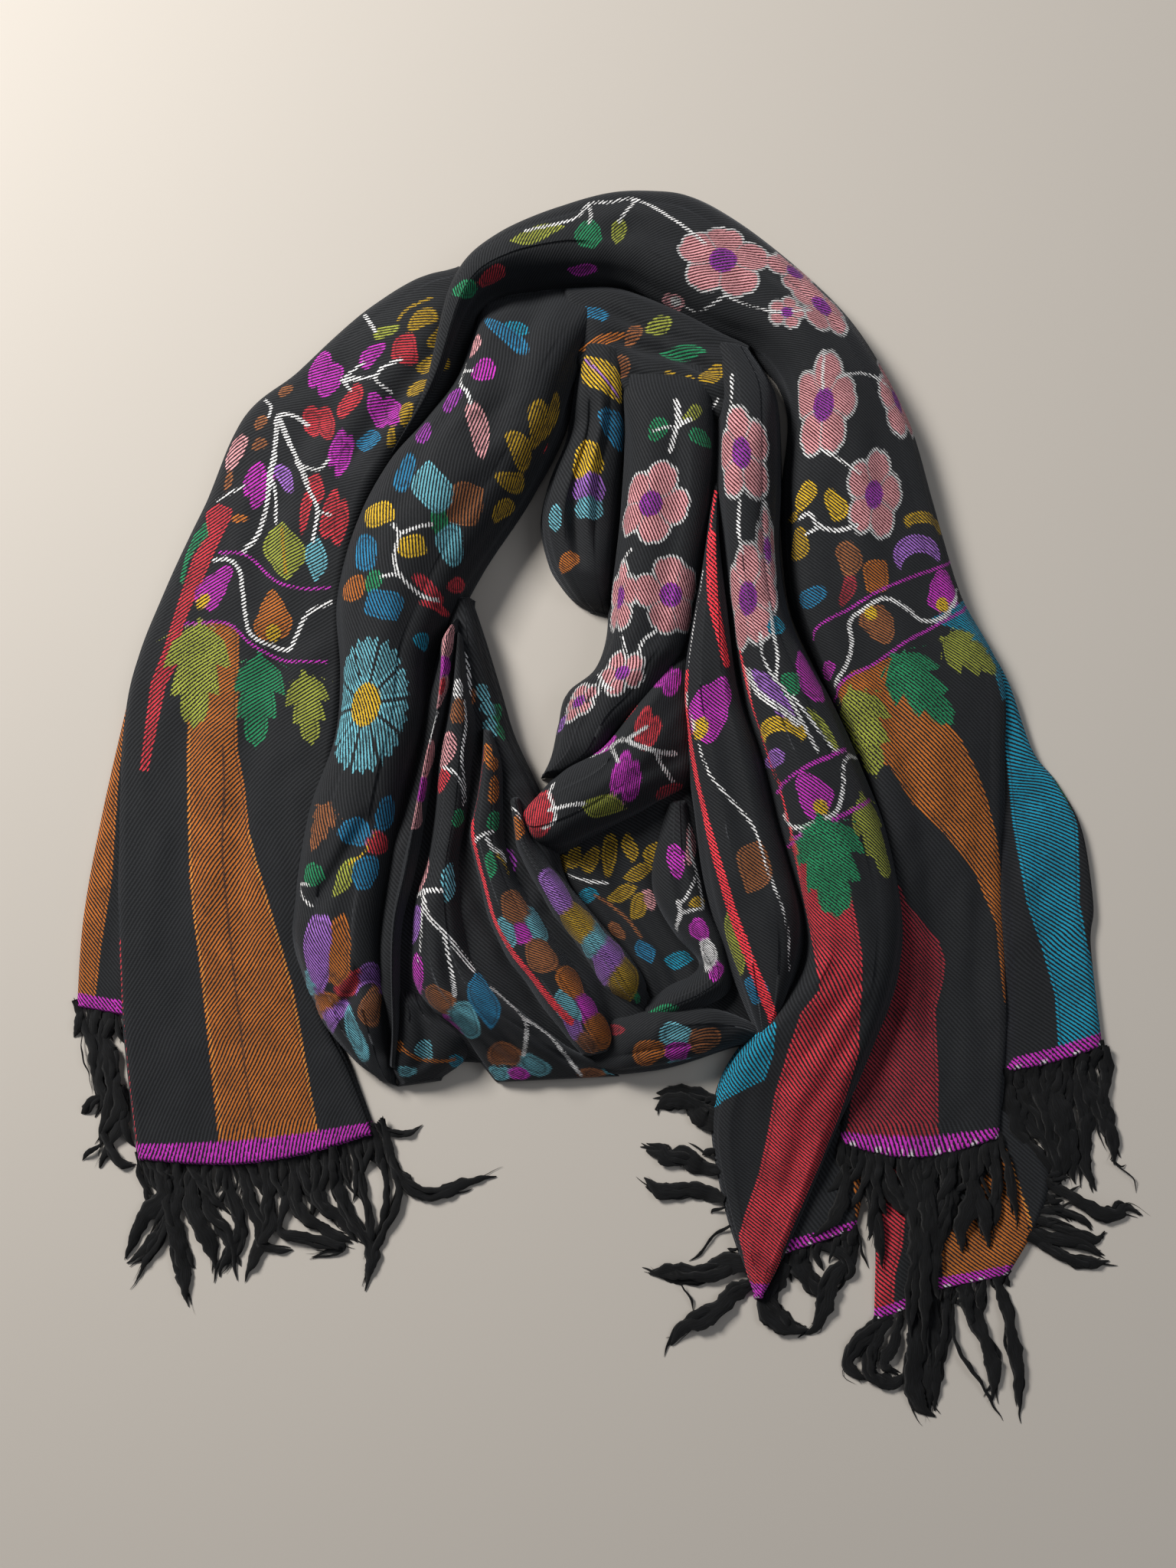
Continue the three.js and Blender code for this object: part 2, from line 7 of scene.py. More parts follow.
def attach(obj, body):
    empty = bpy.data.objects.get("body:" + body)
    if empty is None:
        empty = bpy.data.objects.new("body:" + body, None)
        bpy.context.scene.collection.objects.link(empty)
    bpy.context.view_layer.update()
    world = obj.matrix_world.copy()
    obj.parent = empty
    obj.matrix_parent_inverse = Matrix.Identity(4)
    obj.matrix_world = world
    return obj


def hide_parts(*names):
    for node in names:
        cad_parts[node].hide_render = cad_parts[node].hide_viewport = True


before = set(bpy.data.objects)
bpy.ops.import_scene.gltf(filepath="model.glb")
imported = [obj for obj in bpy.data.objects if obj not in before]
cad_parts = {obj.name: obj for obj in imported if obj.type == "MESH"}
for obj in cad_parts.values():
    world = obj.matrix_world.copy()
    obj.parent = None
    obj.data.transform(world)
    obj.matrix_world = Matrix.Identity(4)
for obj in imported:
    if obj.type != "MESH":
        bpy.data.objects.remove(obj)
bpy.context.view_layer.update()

# The room: a plain pale floor under the stole, a broad soft lamp from the upper left, a weaker one
# from the right and a pale sky. The camera looks nearly straight down, as the photograph does, from
# 0.76 m above the cloth.
ORIGIN = np.array([-2.6, 5.9])  # the frame's origin in the layout that all tables below use, mm
CAMERA_DISTANCE = 0.76
CAMERA_TILT = math.radians(7.9)  # towards the hems
CAMERA_PAN = math.radians(3.0)  # towards the right
CAMERA_AIM = Vector((-ORIGIN[0], -ORIGIN[1], 0)) / 1000
SENSOR_HEIGHT = 36  # mm
FOCAL_SHARE = 2000 / 2048  # focal length as a share of the image height


def new_finish(name):
    """A material with its node tree and its shader."""
    finish = bpy.data.materials.new(name)
    finish.use_nodes = True
    return finish, finish.node_tree, finish.node_tree.nodes["Principled BSDF"]


floor_mesh = bpy.data.meshes.new("floor")
floor_mesh.from_pydata([(-3, -3, 0), (3, -3, 0), (3, 3, 0), (-3, 3, 0)], [], [(0, 1, 2, 3)])
floor = bpy.data.objects.new("floor", floor_mesh)
bpy.context.collection.objects.link(floor)
floor_paint, _, floor_shader = new_finish("pale_floor")
floor_shader.inputs["Base Color"].default_value = (0.5, 0.465, 0.42, 1)
floor_shader.inputs["Roughness"].default_value = 0.75
floor_mesh.materials.append(floor_paint)


def soft_lamp(name, place, aim, size, power, colour):
    lamp = bpy.data.lights.new(name, "AREA")
    lamp.size = size
    lamp.energy = power
    lamp.color = colour
    holder = bpy.data.objects.new(name, lamp)
    holder.location = place
    holder.rotation_euler = (Vector(aim) - Vector(place)).to_track_quat("-Z", "Y").to_euler()
    bpy.context.collection.objects.link(holder)


soft_lamp("key_lamp", (-1.0, 0.9, 1.1), (0, 0, 0), 0.5, 41, (1.0, 0.97, 0.93))
soft_lamp("fill_lamp", (1.2, 0.2, 1.3), (0, 0, 0), 0.8, 4.5, (0.93, 0.96, 1.0))

sky = bpy.data.worlds.new("sky")
sky.use_nodes = True
sky.node_tree.nodes["Background"].inputs["Color"].default_value = (0.9, 0.93, 1.0, 1)
sky.node_tree.nodes["Background"].inputs["Strength"].default_value = 0.14
bpy.context.scene.world = sky
bpy.context.scene.view_settings.view_transform = "Standard"

eye = bpy.data.cameras.new("camera")
eye.sensor_fit = "VERTICAL"
eye.sensor_height = SENSOR_HEIGHT
eye.lens = SENSOR_HEIGHT * FOCAL_SHARE
back = Vector((math.sin(CAMERA_PAN), -math.sin(CAMERA_TILT), 0))
back.z = math.sqrt(1 - back.length_squared)
up = (Vector((0, 1, 0)) - back.y * back).normalized()
camera = bpy.data.objects.new("camera", eye)
camera.matrix_world = Matrix.Translation(CAMERA_AIM + back * CAMERA_DISTANCE) @ Matrix(
    (up.cross(back), up, back)
).transposed().to_4x4()
bpy.context.collection.objects.link(camera)
bpy.context.scene.camera = camera

# Left tail: the left end of the stole, three layers of twill that widen towards the hem. Flowers at
# the top, a meander border between two magenta lines, then plain twill with one orange stripe, a
# thin red selvedge and the magenta hem band. It is woven in one piece and lies flat on the floor.
GRID = 1.2  # distance between the points of a cloth's mesh, mm
SIDE_POINTS = 14  # points from the floor up to the shoulder of a fold
CURL_POINTS = 5  # points round the end of a stretch
CURL_TURN = 1.45  # how far round its end a stretch is followed, radians
SPAN_STEPS = 24  # steps between two rows where the middle line is measured
LAYER_GROOVE = 1.7  # depth of the groove between two layers at a rounded side, mm
LOWEST = 0.15  # height of the lowest points over the floor, mm
CREASE_FADE = 0.25  # share of a crease's length over which it fades in and out
WAVES = 9  # waves that are added up in a wrinkled surface
OUTSIDE = -9.0  # depth of a point that no woven figure covers, mm

BLACK = "#1a1c20"
ORANGE = "#98561e"
CORD = "#b0702c"
RED = "#a82a34"
SCARLET = "#e03440"
DARK_RED = "#80222c"
MAGENTA = "#a2289a"
PURPLE = "#8456a4"
TEAL = "#0f7590"
CYAN = "#56929f"
BLUE = "#1c6488"
GREEN = "#1a7048"
OLIVE = "#7e8430"
GOLD = "#947618"
YELLOW = "#b4921e"
BROWN = "#7a4a2a"
UMBER = "#4c301e"
PINK = "#b98286"
VIOLET = "#7a2c86"
WHITE = "#c4c4c4"


def dye(name):
    """A colour written as #rrggbb, in the light values that a shader adds up."""
    parts = [int(name[i : i + 2], 16) / 255 for i in (1, 3, 5)]
    return [p / 12.92 if p <= 0.04045 else ((p + 0.055) / 1.055) ** 2.4 for p in parts] + [1]


def read_rows(rows, place):
    """A stretch's edges and heights between its rows, on a smooth curve through them."""
    rows = np.array(rows, float)
    last = len(rows) - 1
    first = np.clip(np.floor(place).astype(int), 0, last - 1)
    part = (place - first)[:, None]
    here, there = rows[first], rows[first + 1]
    slope_in = (there - rows[np.maximum(first - 1, 0)]) / 2
    slope_out = (rows[np.minimum(first + 2, last)] - here) / 2
    cubic = 2 * here - 2 * there + slope_in + slope_out
    square = 3 * there - 3 * here - 2 * slope_in - slope_out
    return ((cubic * part + square) * part + slope_in) * part + here


def crease_depth(creases, place, across, width):
    """How far the creases press down each point of a stretch's top."""
    depth = np.zeros_like(across)
    for first, last, start, middle, end, deep, left_width, right_width in creases:
        along = np.clip((place - first) / (last - first), 0, 1)
        centre = np.where(
            along < 0.5, start + (middle - start) * along * 2, middle + (end - middle) * (along * 2 - 1)
        )
        rise = np.clip(np.minimum(along, 1 - along) / CREASE_FADE, 0, 1)
        away = (across - centre) * width
        spread = np.where(away < 0, left_width, right_width)
        depth += deep * rise * rise * (3 - 2 * rise) * np.exp(-((away / spread) ** 2))
    return depth


def wrinkle(along, across, seed, size):
    """Shallow uneven creases, longer along the cloth than across it."""
    rng = np.random.default_rng(seed)
    height = np.zeros_like(across)
    for _ in range(WAVES):
        long_wave = rng.uniform(55, 160)
        short_wave = rng.uniform(11, 34)
        turn = rng.uniform(0, 2 * math.pi, 2)
        bend = 1.4 * np.sin(2 * math.pi * along / long_wave + turn[0])
        height += np.sin(2 * math.pi * across / short_wave + bend * 1.7 + turn[1]) * short_wave / 34
    return height * size / 4


def lay_stretch(rows, creases, layers=2, bow=0.0, seed=1, ripple=0.5, rim=0.34, bias=0):
    """The surface of one stretch of cloth: up one side, over the top and down the other side.
    A row is the left x and y, the right x and y, and the heights at the left, the middle and the
    right, all in mm. A crease is its first and last row, its place across at the start, the middle
    and the end as shares of the width, its depth, and its reach to the left and the right in mm.
    layers show at the rounded sides, bow bends the hem outwards, rim is the largest share of the
    width that a side takes, and bias turns the threads, in degrees, off the straight grain."""
    last = len(rows) - 1
    fine = np.linspace(0, last, last * SPAN_STEPS + 1)
    track = read_rows(rows, fine)
    middle = (track[:, 0:2] + track[:, 2:4]) / 2
    walked = np.concatenate([[0], np.cumsum(np.hypot(*np.diff(middle, axis=0).T))])
    count = int(walked[-1] / GRID) + 2
    place = np.interp(np.linspace(0, walked[-1], count), walked, fine)
    forward = np.zeros(count)
    sink = np.ones(count)
    turns = np.linspace(0, CURL_TURN, CURL_POINTS + 1)[1:]
    curl, fall = np.sin(turns), np.cos(turns)
    ends = [min(4.0, rows[0][5] * 0.5), min(2.2, rows[-1][5] * 0.4)]
    place = np.concatenate([np.zeros(CURL_POINTS), place, np.full(CURL_POINTS, last)])
    forward = np.concatenate([-ends[0] * curl[::-1], forward, ends[1] * curl])
    sink = np.concatenate([fall[::-1], sink, fall])
    along = np.interp(place, fine, walked) + forward
    numbers = read_rows(rows, place)
    left, right = numbers[:, 0:2], numbers[:, 2:4]
    heights = numbers[:, 4:7]
    width = np.hypot(*(right - left).T)[:, None]
    side = (right - left) / width
    ahead_low = read_rows(rows, np.clip(place - 0.5, 0, last))
    ahead_high = read_rows(rows, np.clip(place + 0.5, 0, last))
    travel = (ahead_high[:, 0:2] + ahead_high[:, 2:4]) - (ahead_low[:, 0:2] + ahead_low[:, 2:4])
    travel /= np.hypot(*travel.T)[:, None]
    shoulder = np.minimum(rim * width, heights[:, 1:2] * 0.42 + 2.0)

    top_count = max(int(float(width.max()) / GRID), 8)
    angle = np.linspace(0.02, math.pi / 2, SIDE_POINTS)[None, :]
    rise = np.sin(angle)
    lobes = math.pi * layers * rise + 0.5 * np.sin(along[:, None] / 19 + seed)
    tuck = LAYER_GROOVE * (1 - np.abs(np.sin(lobes))) * np.clip(1.15 - rise, 0, 0.6) / 0.6
    inset = shoulder * (1 - np.cos(angle)) + tuck
    middle_share = np.linspace(0, 1, top_count)[None, 1:-1]
    span = width - 2 * shoulder
    distance = np.concatenate(
        [inset, shoulder + span * middle_share, (width - inset)[:, ::-1]], axis=1
    )
    held = np.concatenate(
        [shoulder + inset * 0, shoulder + span * middle_share, width - shoulder + inset * 0], axis=1
    )
    lift = np.concatenate(
        [rise + inset * 0, np.ones_like(span * middle_share), (rise + inset * 0)[:, ::-1]], axis=1
    )
    across = held / width
    edge_low, crown_height, edge_high = heights[:, 0:1], heights[:, 1:2], heights[:, 2:3]
    crown = crown_height - (edge_low + edge_high) / 2
    base = edge_low + (edge_high - edge_low) * across + crown * np.sin(math.pi * across)
    cut = crease_depth(creases, place[:, None], across, width)
    top = np.maximum(base - cut + wrinkle(along[:, None], held, seed, ripple), base * 0.3)
    height = np.maximum(top * lift * sink[:, None], LOWEST)

    bend = bow * np.clip((place - last) / 0.3 + 1, 0, 1)[:, None] * np.sin(math.pi * np.clip(across, 0, 1))
    plan = left[:, None, :] + side[:, None, :] * distance[:, :, None]
    plan += travel[:, None, :] * (forward[:, None] + bend)[:, :, None]
    points = np.concatenate([plan - ORIGIN, height[:, :, None]], axis=2) / 1000
    steps = np.hypot(np.diff(distance, axis=1), np.diff(height, axis=1))
    spread = np.concatenate([np.zeros((len(place), 1)), np.cumsum(steps, axis=1)], axis=1)
    left_end, right_end = SIDE_POINTS - 1, -SIDE_POINTS
    on_top = held.copy()
    on_top[:, :SIDE_POINTS] += spread[:, :SIDE_POINTS] - spread[:, [left_end]]
    on_top[:, right_end:] += spread[:, right_end:] - spread[:, [right_end]]
    print_plan = left[:, None, :] + side[:, None, :] * on_top[:, :, None]
    print_plan += travel[:, None, :] * (forward[:, None] * 1.3 + bend)[:, :, None]
    shape = across.shape
    level = np.broadcast_to(along[:, None], shape)
    cosine, sine = math.cos(math.radians(bias)), math.sin(math.radians(bias))
    weave = np.stack([level * cosine + spread * sine, spread * cosine - level * sine], axis=2)
    return {
        "points": points,
        "plan": print_plan.reshape(-1, 2),
        "weave": weave.reshape(-1, 2) / 10,
        "to_end": (walked[-1] - level).reshape(-1),
        "from_left": on_top.reshape(-1),
        "from_right": (width - on_top).reshape(-1),
        "place": np.broadcast_to(place[:, None], shape).reshape(-1),
        "flat": (
            float(spread[:, -1].mean() - spread[:, 0].mean()) / 1000, float(along[-1] - along[0]) / 1000
        ),
        "motif": (np.full(across.size, OUTSIDE), np.tile(dye(BLACK), (across.size, 1))),
        "detail": (np.full(across.size, OUTSIDE), np.tile(dye(BLACK), (across.size, 1))),
    }


def weave_in(cloth, layer, depth, colour, where=None, outlined=False):
    """Colour the threads where depth, in mm inside an outline, is more than what is there.
    An outlined figure gets a white rim."""
    edge, shade = cloth[layer]
    spots = np.arange(len(edge)) if where is None else where
    nearer = depth > edge[spots]
    edge[spots[nearer]] = depth[nearer]
    shade[spots[nearer]] = dye(colour)[:3] + [0.0 if outlined else 1.0]


def from_segment(spots, start, end):
    """How far each spot is from a straight piece of an outline or a route."""
    run = end - start
    share = np.clip(((spots - start) @ run) / (run @ run), 0, 1)
    return np.hypot(*(spots - start - share[:, None] * run).T)


def weave_patch(cloth, colour, outline):
    """A stripe or another plain figure inside a closed outline of straight sides."""
    corners = np.array(outline, float)
    x, y = cloth["plan"].T
    near = np.full(len(x), 99.0)
    inside = np.zeros(len(x), bool)
    for start, end in zip(corners, np.roll(corners, -1, axis=0)):
        near = np.minimum(near, from_segment(cloth["plan"], start, end))
        if start[1] != end[1]:
            crossing = start[0] + (y - start[1]) * (end[0] - start[0]) / (end[1] - start[1])
            inside ^= ((start[1] > y) != (end[1] > y)) & (x < crossing)
    weave_in(cloth, "motif", np.where(inside, near, -near), colour)


def weave_band(cloth, colour, rows):
    """A stripe down the cloth, from rows of y and its left and right x."""
    left = [(low, y) for y, low, high in rows]
    right = [(high, y) for y, low, high in rows]
    weave_patch(cloth, colour, left + right[::-1])


def weave_vines(cloth, colour, vines):
    """Vines or border lines, each as its width in mm and the points of a smooth route."""
    for width, *points in vines:
        route = np.array(points, float)
        if len(route) > 2:
            padded = np.concatenate([route, np.zeros((len(route), 5))], axis=1)
            route = read_rows(padded, np.linspace(0, len(route) - 1, (len(route) - 1) * 5 + 1))[:, 0:2]
        near = np.full(len(cloth["plan"]), 99.0)
        for start, end in zip(route[:-1], route[1:]):
            near = np.minimum(near, from_segment(cloth["plan"], start, end))
        weave_in(cloth, "detail", width * 0.46 - near, colour)


def saw(value):
    return 2 * np.abs(value - np.floor(value + 0.5))


def weave_motif(cloth, kind, x, y, length, width, turn, colour, inner=None, layer="motif"):
    """One woven flower, petal or leaf, with its centre, size in mm and turn in degrees."""
    away = cloth["plan"] - (x, y)
    near = np.nonzero(np.abs(away).max(axis=1) < max(length, width) * 0.62 + 4)[0]
    if len(near) == 0:
        return
    cosine, sine = math.cos(math.radians(turn)), math.sin(math.radians(turn))
    u = (away[near, 0] * cosine + away[near, 1] * sine) / (length / 2)
    v = (-away[near, 0] * sine + away[near, 1] * cosine) / (width / 2)
    small = min(length, width) / 2
    reach = np.hypot(u, v)
    round_way = np.arctan2(v, u)
    wobble = 0.07 * np.sin(round_way * 3 + x) + 0.04 * np.sin(round_way * 7 + y)
    if kind == "oval":
        depth = (1 + wobble - reach) * small
    elif kind == "petal":
        narrow = v * (1 + 0.28 * u * np.sin(x * 1.7 + y)) + 0.14 * np.sin(math.pi * u + x)
        depth = (1 - (np.abs(u) ** 2.2 + np.abs(narrow) ** 2.2) ** (1 / 2.2)) * small
    elif kind == "bud":
        depth = (1 + wobble - np.hypot(u, v * (1.25 + 0.45 * u))) * small
    elif kind == "lobed":
        lobes = [np.hypot((u - 0.3 * v) / 0.95, (v - side * 0.44) / 0.6) for side in (-1, 1)]
        depth = (1 + wobble - np.minimum(*lobes)) * small * 0.6
    elif kind == "leaf":
        depth = (1 + wobble * 0.5 - u * u - np.abs(v - 0.18 * np.sin(math.pi * u))) * small * 0.8
    elif kind == "toothed":
        teeth = (u + 1) * 1.65 - np.abs(v) * 0.55
        teeth = 0.5 + 0.5 * (teeth - np.floor(teeth))
        blade = 0.9 * np.clip((u + 0.95) * 3, 0, 1) ** 0.7 * np.clip(1 - u, 0, 2) ** 0.55
        stem = np.where(u < -0.7, 1.2 - np.abs(v) * width / 2, OUTSIDE)
        depth = np.maximum((blade * teeth - np.abs(v)) * small * 0.75, stem)
        depth = np.minimum(depth, (1.05 - np.abs(u)) * small)
    elif kind == "crescent":
        depth = np.minimum(1 - reach, np.hypot(u, v + 0.75) - 0.85) * small
    elif kind == "daisy":
        notch = 0.11 * saw(round_way * 15 / math.pi) - 0.05 * np.sin(round_way * 2 + 1)
        petal_gap = np.abs(np.sin(round_way * 5 + 0.3)) * reach * small / 5 - 0.55 - 0.55 * reach
        depth = np.minimum((0.93 - notch - reach) * small, petal_gap)
    else:
        petals = np.arange(5)[:, None] * 2 * math.pi / 5 + 0.12 * np.sin(x + np.arange(5)[:, None] * 2)
        middle = 0.57 + 0.04 * np.sin(y + np.arange(5)[:, None] * 3)
        lobe = 0.45 - np.hypot(u - middle * np.cos(petals), v - middle * np.sin(petals))
        cleft = 0.05 * np.clip(1 - np.abs(np.sin(round_way * 2.5)) / 0.3, 0, 1)
        seam = np.abs(np.sin(round_way * 2.5 + math.pi / 2)) * reach / 2.5
        depth = np.minimum((lobe.max(axis=0) - cleft + wobble * 0.3) * small, seam * small + 0.85)
    weave_in(cloth, layer, depth, colour, near, outlined=kind == "flower")
    if kind == "flower":
        weave_in(cloth, "detail", (0.3 - reach) * small, inner or VIOLET, near)
    elif kind == "daisy":
        weave_in(cloth, "detail", (0.3 - reach) * small, inner or YELLOW, near)
    elif kind == "bud":
        weave_in(cloth, "detail", (0.34 - np.hypot(u + 0.72, v)) * small, inner or YELLOW, near)
    elif inner and kind in ("leaf", "toothed"):
        vein = 0.6 - np.abs(v) * small * 0.9
        weave_in(cloth, "detail", np.minimum(vein, (0.8 - np.abs(u)) * small), inner, near)
    elif inner:
        weave_in(cloth, "detail", (0.5 - np.hypot(u - 0.25, v)) * small, inner, near)


def weave_motifs(cloth, **motifs):
    """All the figures of a stretch by their kind, each as x, y, length, width, turn and colour, and
    where it has them a colour inside and the layer it is woven in."""
    for kind, places in motifs.items():
        for place in places:
            weave_motif(cloth, kind, *place)


def hem_band(cloth, width=4.4, stitched=True):
    """The magenta rows of weft that close the end of the stole, with short white stitches below."""
    weave_in(cloth, "detail", width - cloth["to_end"], MAGENTA)
    if stitched:
        across = cloth["from_left"]
        sewn = np.sin(across * 1.1) + np.sin(across * 0.43 + 2) + 0.5 * np.sin(across * 3.1)
        inside = 9.0 - np.abs(cloth["to_end"] + 0.4) * 9
        weave_in(cloth, "detail", np.where(sewn > 0.9, inside, OUTSIDE), WHITE)


TWILL_PITCH = 0.15  # cm across two twill lines


def wool_twill(name, lean):
    """Matt wool twill. The woven figures' outlines step along the twill, and each coloured weft
    shows as diagonal lines over the near-black warp. lean is the way the lines run, 1 or -1."""
    finish, tree, shader = new_finish(name)

    def add(kind, **settings):
        node = tree.nodes.new(kind)
        for key, value in settings.items():
            setattr(node, key, value)
        return node

    def maths(operation, first, second=None, third=None):
        node = add("ShaderNodeMath", operation=operation)
        for socket, value in zip(node.inputs, (first, second, third)):
            if isinstance(value, (int, float)):
                socket.default_value = value
            elif value is not None:
                tree.links.new(value, socket)
        return node.outputs[0]

    def ramp(value, low, high, to_low=0.0, to_high=1.0):
        if low > high:
            low, high, to_low, to_high = high, low, to_high, to_low
        node = add("ShaderNodeMapRange", interpolation_type="SMOOTHSTEP")
        tree.links.new(value, node.inputs["Value"])
        for key, number in (("From Min", low), ("From Max", high), ("To Min", to_low), ("To Max", to_high)):
            node.inputs[key].default_value = number
        return node.outputs["Result"]

    def mixed(share, first, second):
        node = add("ShaderNodeMix", data_type="RGBA")
        for socket, value in ((node.inputs[0], share), (node.inputs[6], first), (node.inputs[7], second)):
            if isinstance(value, (int, float, list)):
                socket.default_value = value
            else:
                tree.links.new(value, socket)
        return node.outputs[2]

    weave = add("ShaderNodeUVMap", uv_map="weave").outputs["UV"]
    parts = add("ShaderNodeSeparateXYZ")
    tree.links.new(weave, parts.inputs[0])

    def noise(scale, detail):
        node = add("ShaderNodeTexNoise")
        node.inputs["Scale"].default_value = scale
        node.inputs["Detail"].default_value = detail
        tree.links.new(weave, node.inputs["Vector"])
        return node.outputs["Fac"]

    yarn = noise(9, 3)
    fuzz = noise(38, 2)
    wear = noise(0.7, 4)
    slant = maths("ADD", maths("MULTIPLY", parts.outputs[0], lean), parts.outputs[1])
    phase = maths("MULTIPLY", slant, 2 * math.pi / (TWILL_PITCH * math.sqrt(2)))
    phase = maths("ADD", phase, maths("MULTIPLY", yarn, 2.6))
    line = maths("MULTIPLY_ADD", maths("SINE", phase), 0.5, 0.5)
    warp_thread = maths("SINE", maths("MULTIPLY", parts.outputs[0], 2 * math.pi / 0.055))
    rough_edge = maths("MULTIPLY_ADD", line, 1.1, -0.75)
    rough_edge = maths("ADD", rough_edge, maths("MULTIPLY_ADD", fuzz, 0.8, -0.4))

    def attribute(name, output):
        return add("ShaderNodeAttribute", attribute_name=name).outputs[output]

    def threads(dyed, strength, under=(0.009, 0.009, 0.011, 1), grain=fuzz, uneven=0.7):
        """Dyed weft that shows as lines between the near-black warp, or over a second weft."""
        worn = ramp(wear, 0.3, 0.7, strength * 0.8, strength * 1.15)
        tone = add("ShaderNodeVectorMath", operation="SCALE")
        if isinstance(dyed, list):
            tone.inputs[0].default_value = dyed[:3]
        else:
            tree.links.new(dyed, tone.inputs[0])
        tree.links.new(worn, tone.inputs["Scale"])
        fleck = maths("MULTIPLY_ADD", grain, uneven, -uneven / 2)
        return mixed(ramp(maths("ADD", line, fleck), 0.3, 0.68), list(under), tone.outputs[0])

    ground = mixed(ramp(line, 0.2, 0.9), [0.006, 0.0066, 0.0078, 1], [0.0165, 0.0183, 0.021, 1])
    ground = mixed(maths("MULTIPLY", wear, 0.24), ground, [0.021, 0.023, 0.026, 1])
    ragged = maths("MULTIPLY_ADD", yarn, 2.0, -1.0)
    motif_edge = maths("ADD", attribute("motif_edge", "Fac"), rough_edge)
    motif_edge = maths("ADD", motif_edge, maths("MULTIPLY", ragged, 0.5))
    plain_motif = attribute("motif_colour", "Alpha")
    motif_dye = threads(attribute("motif_colour", "Color"), 1.5)
    petal = threads(attribute("motif_colour", "Color"), 1.5, (0.05, 0.008, 0.01, 1))
    motif_dye = mixed(plain_motif, petal, motif_dye)
    bright_rim = threads(attribute("motif_colour", "Color"), 1.8)
    white_rim = mixed(plain_motif, threads([0.6, 0.6, 0.6, 1], 1.1), bright_rim)
    rim = ramp(motif_edge, 1.35, 1.05)
    gap = maths("MULTIPLY", maths("MULTIPLY", ramp(motif_edge, 1.9, 1.65), plain_motif), 0.6)
    figure = mixed(gap, motif_dye, [0.012, 0.011, 0.013, 1])
    figure = mixed(rim, figure, white_rim)
    colour = mixed(ramp(motif_edge, -0.22, 0.22), ground, figure)
    detail_edge = maths("ADD", maths("ADD", attribute("detail_edge", "Fac"), rough_edge), ragged)
    detail = threads(attribute("detail_colour", "Color"), 1.55, grain=yarn, uneven=2.2)
    colour = mixed(ramp(detail_edge, -0.2, 0.2), colour, detail)
    tree.links.new(colour, shader.inputs["Base Color"])
    relief = maths("ADD", line, maths("MULTIPLY", warp_thread, 0.16))
    relief = maths("ADD", relief, maths("MULTIPLY", fuzz, 0.9))
    bump = add("ShaderNodeBump")
    bump.inputs["Strength"].default_value = 0.55
    bump.inputs["Distance"].default_value = 0.00022
    tree.links.new(relief, bump.inputs["Height"])
    tree.links.new(bump.outputs["Normal"], shader.inputs["Normal"])
    tree.links.new(ramp(line, 0, 1, 0.92, 0.78), shader.inputs["Roughness"])
    shader.inputs["Sheen Weight"].default_value = 0.1
    shader.inputs["Sheen Roughness"].default_value = 0.45
    shader.inputs["Sheen Tint"].default_value = (0.75, 0.8, 0.9, 1)
    shader.inputs["Specular IOR Level"].default_value = 0.25
    return finish


twill_right = wool_twill("wool_twill_right", 1)
twill_left = wool_twill("wool_twill_left", -1)


def grid_mesh(name, points, uv):
    """A mesh of quads over a grid of points, with the place of each in the weave."""
    rows, columns = points.shape[:2]
    index = np.arange(rows * columns).reshape(rows, columns)
    quads = np.stack([index[:-1, :-1], index[:-1, 1:], index[1:, 1:], index[1:, :-1]], axis=2).reshape(-1, 4)
    mesh = bpy.data.meshes.new(name)
    mesh.vertices.add(rows * columns)
    mesh.vertices.foreach_set("co", points.reshape(-1).astype(np.float32))
    mesh.loops.add(quads.size)
    mesh.loops.foreach_set("vertex_index", quads.reshape(-1).astype(np.int32))
    mesh.polygons.add(len(quads))
    mesh.polygons.foreach_set("loop_start", np.arange(0, quads.size, 4, dtype=np.int32))
    mesh.update(calc_edges=True)
    mesh.polygons.foreach_set("use_smooth", np.ones(len(quads), bool))
    layer = mesh.uv_layers.new(name="weave")
    layer.data.foreach_set("uv", uv[quads.reshape(-1)].reshape(-1).astype(np.float32))
    return mesh


def finish_stretch(name, cloth, finish, node=None):
    """The piece itself: its mesh, its woven colours and its place on the model."""
    mesh = grid_mesh(name, cloth["points"], cloth["weave"])
    for layer in ("motif", "detail"):
        edge, shade = cloth[layer]
        mesh.attributes.new(layer + "_edge", "FLOAT", "POINT").data.foreach_set(
            "value", edge.astype(np.float32)
        )
        mesh.attributes.new(layer + "_colour", "FLOAT_COLOR", "POINT").data.foreach_set(
            "color", shade.reshape(-1).astype(np.float32)
        )
    mesh.materials.append(finish)
    piece = bpy.data.objects.new(name + "_cloth", mesh)
    bpy.context.collection.objects.link(piece)
    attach(piece, "root")
    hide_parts(node or name)


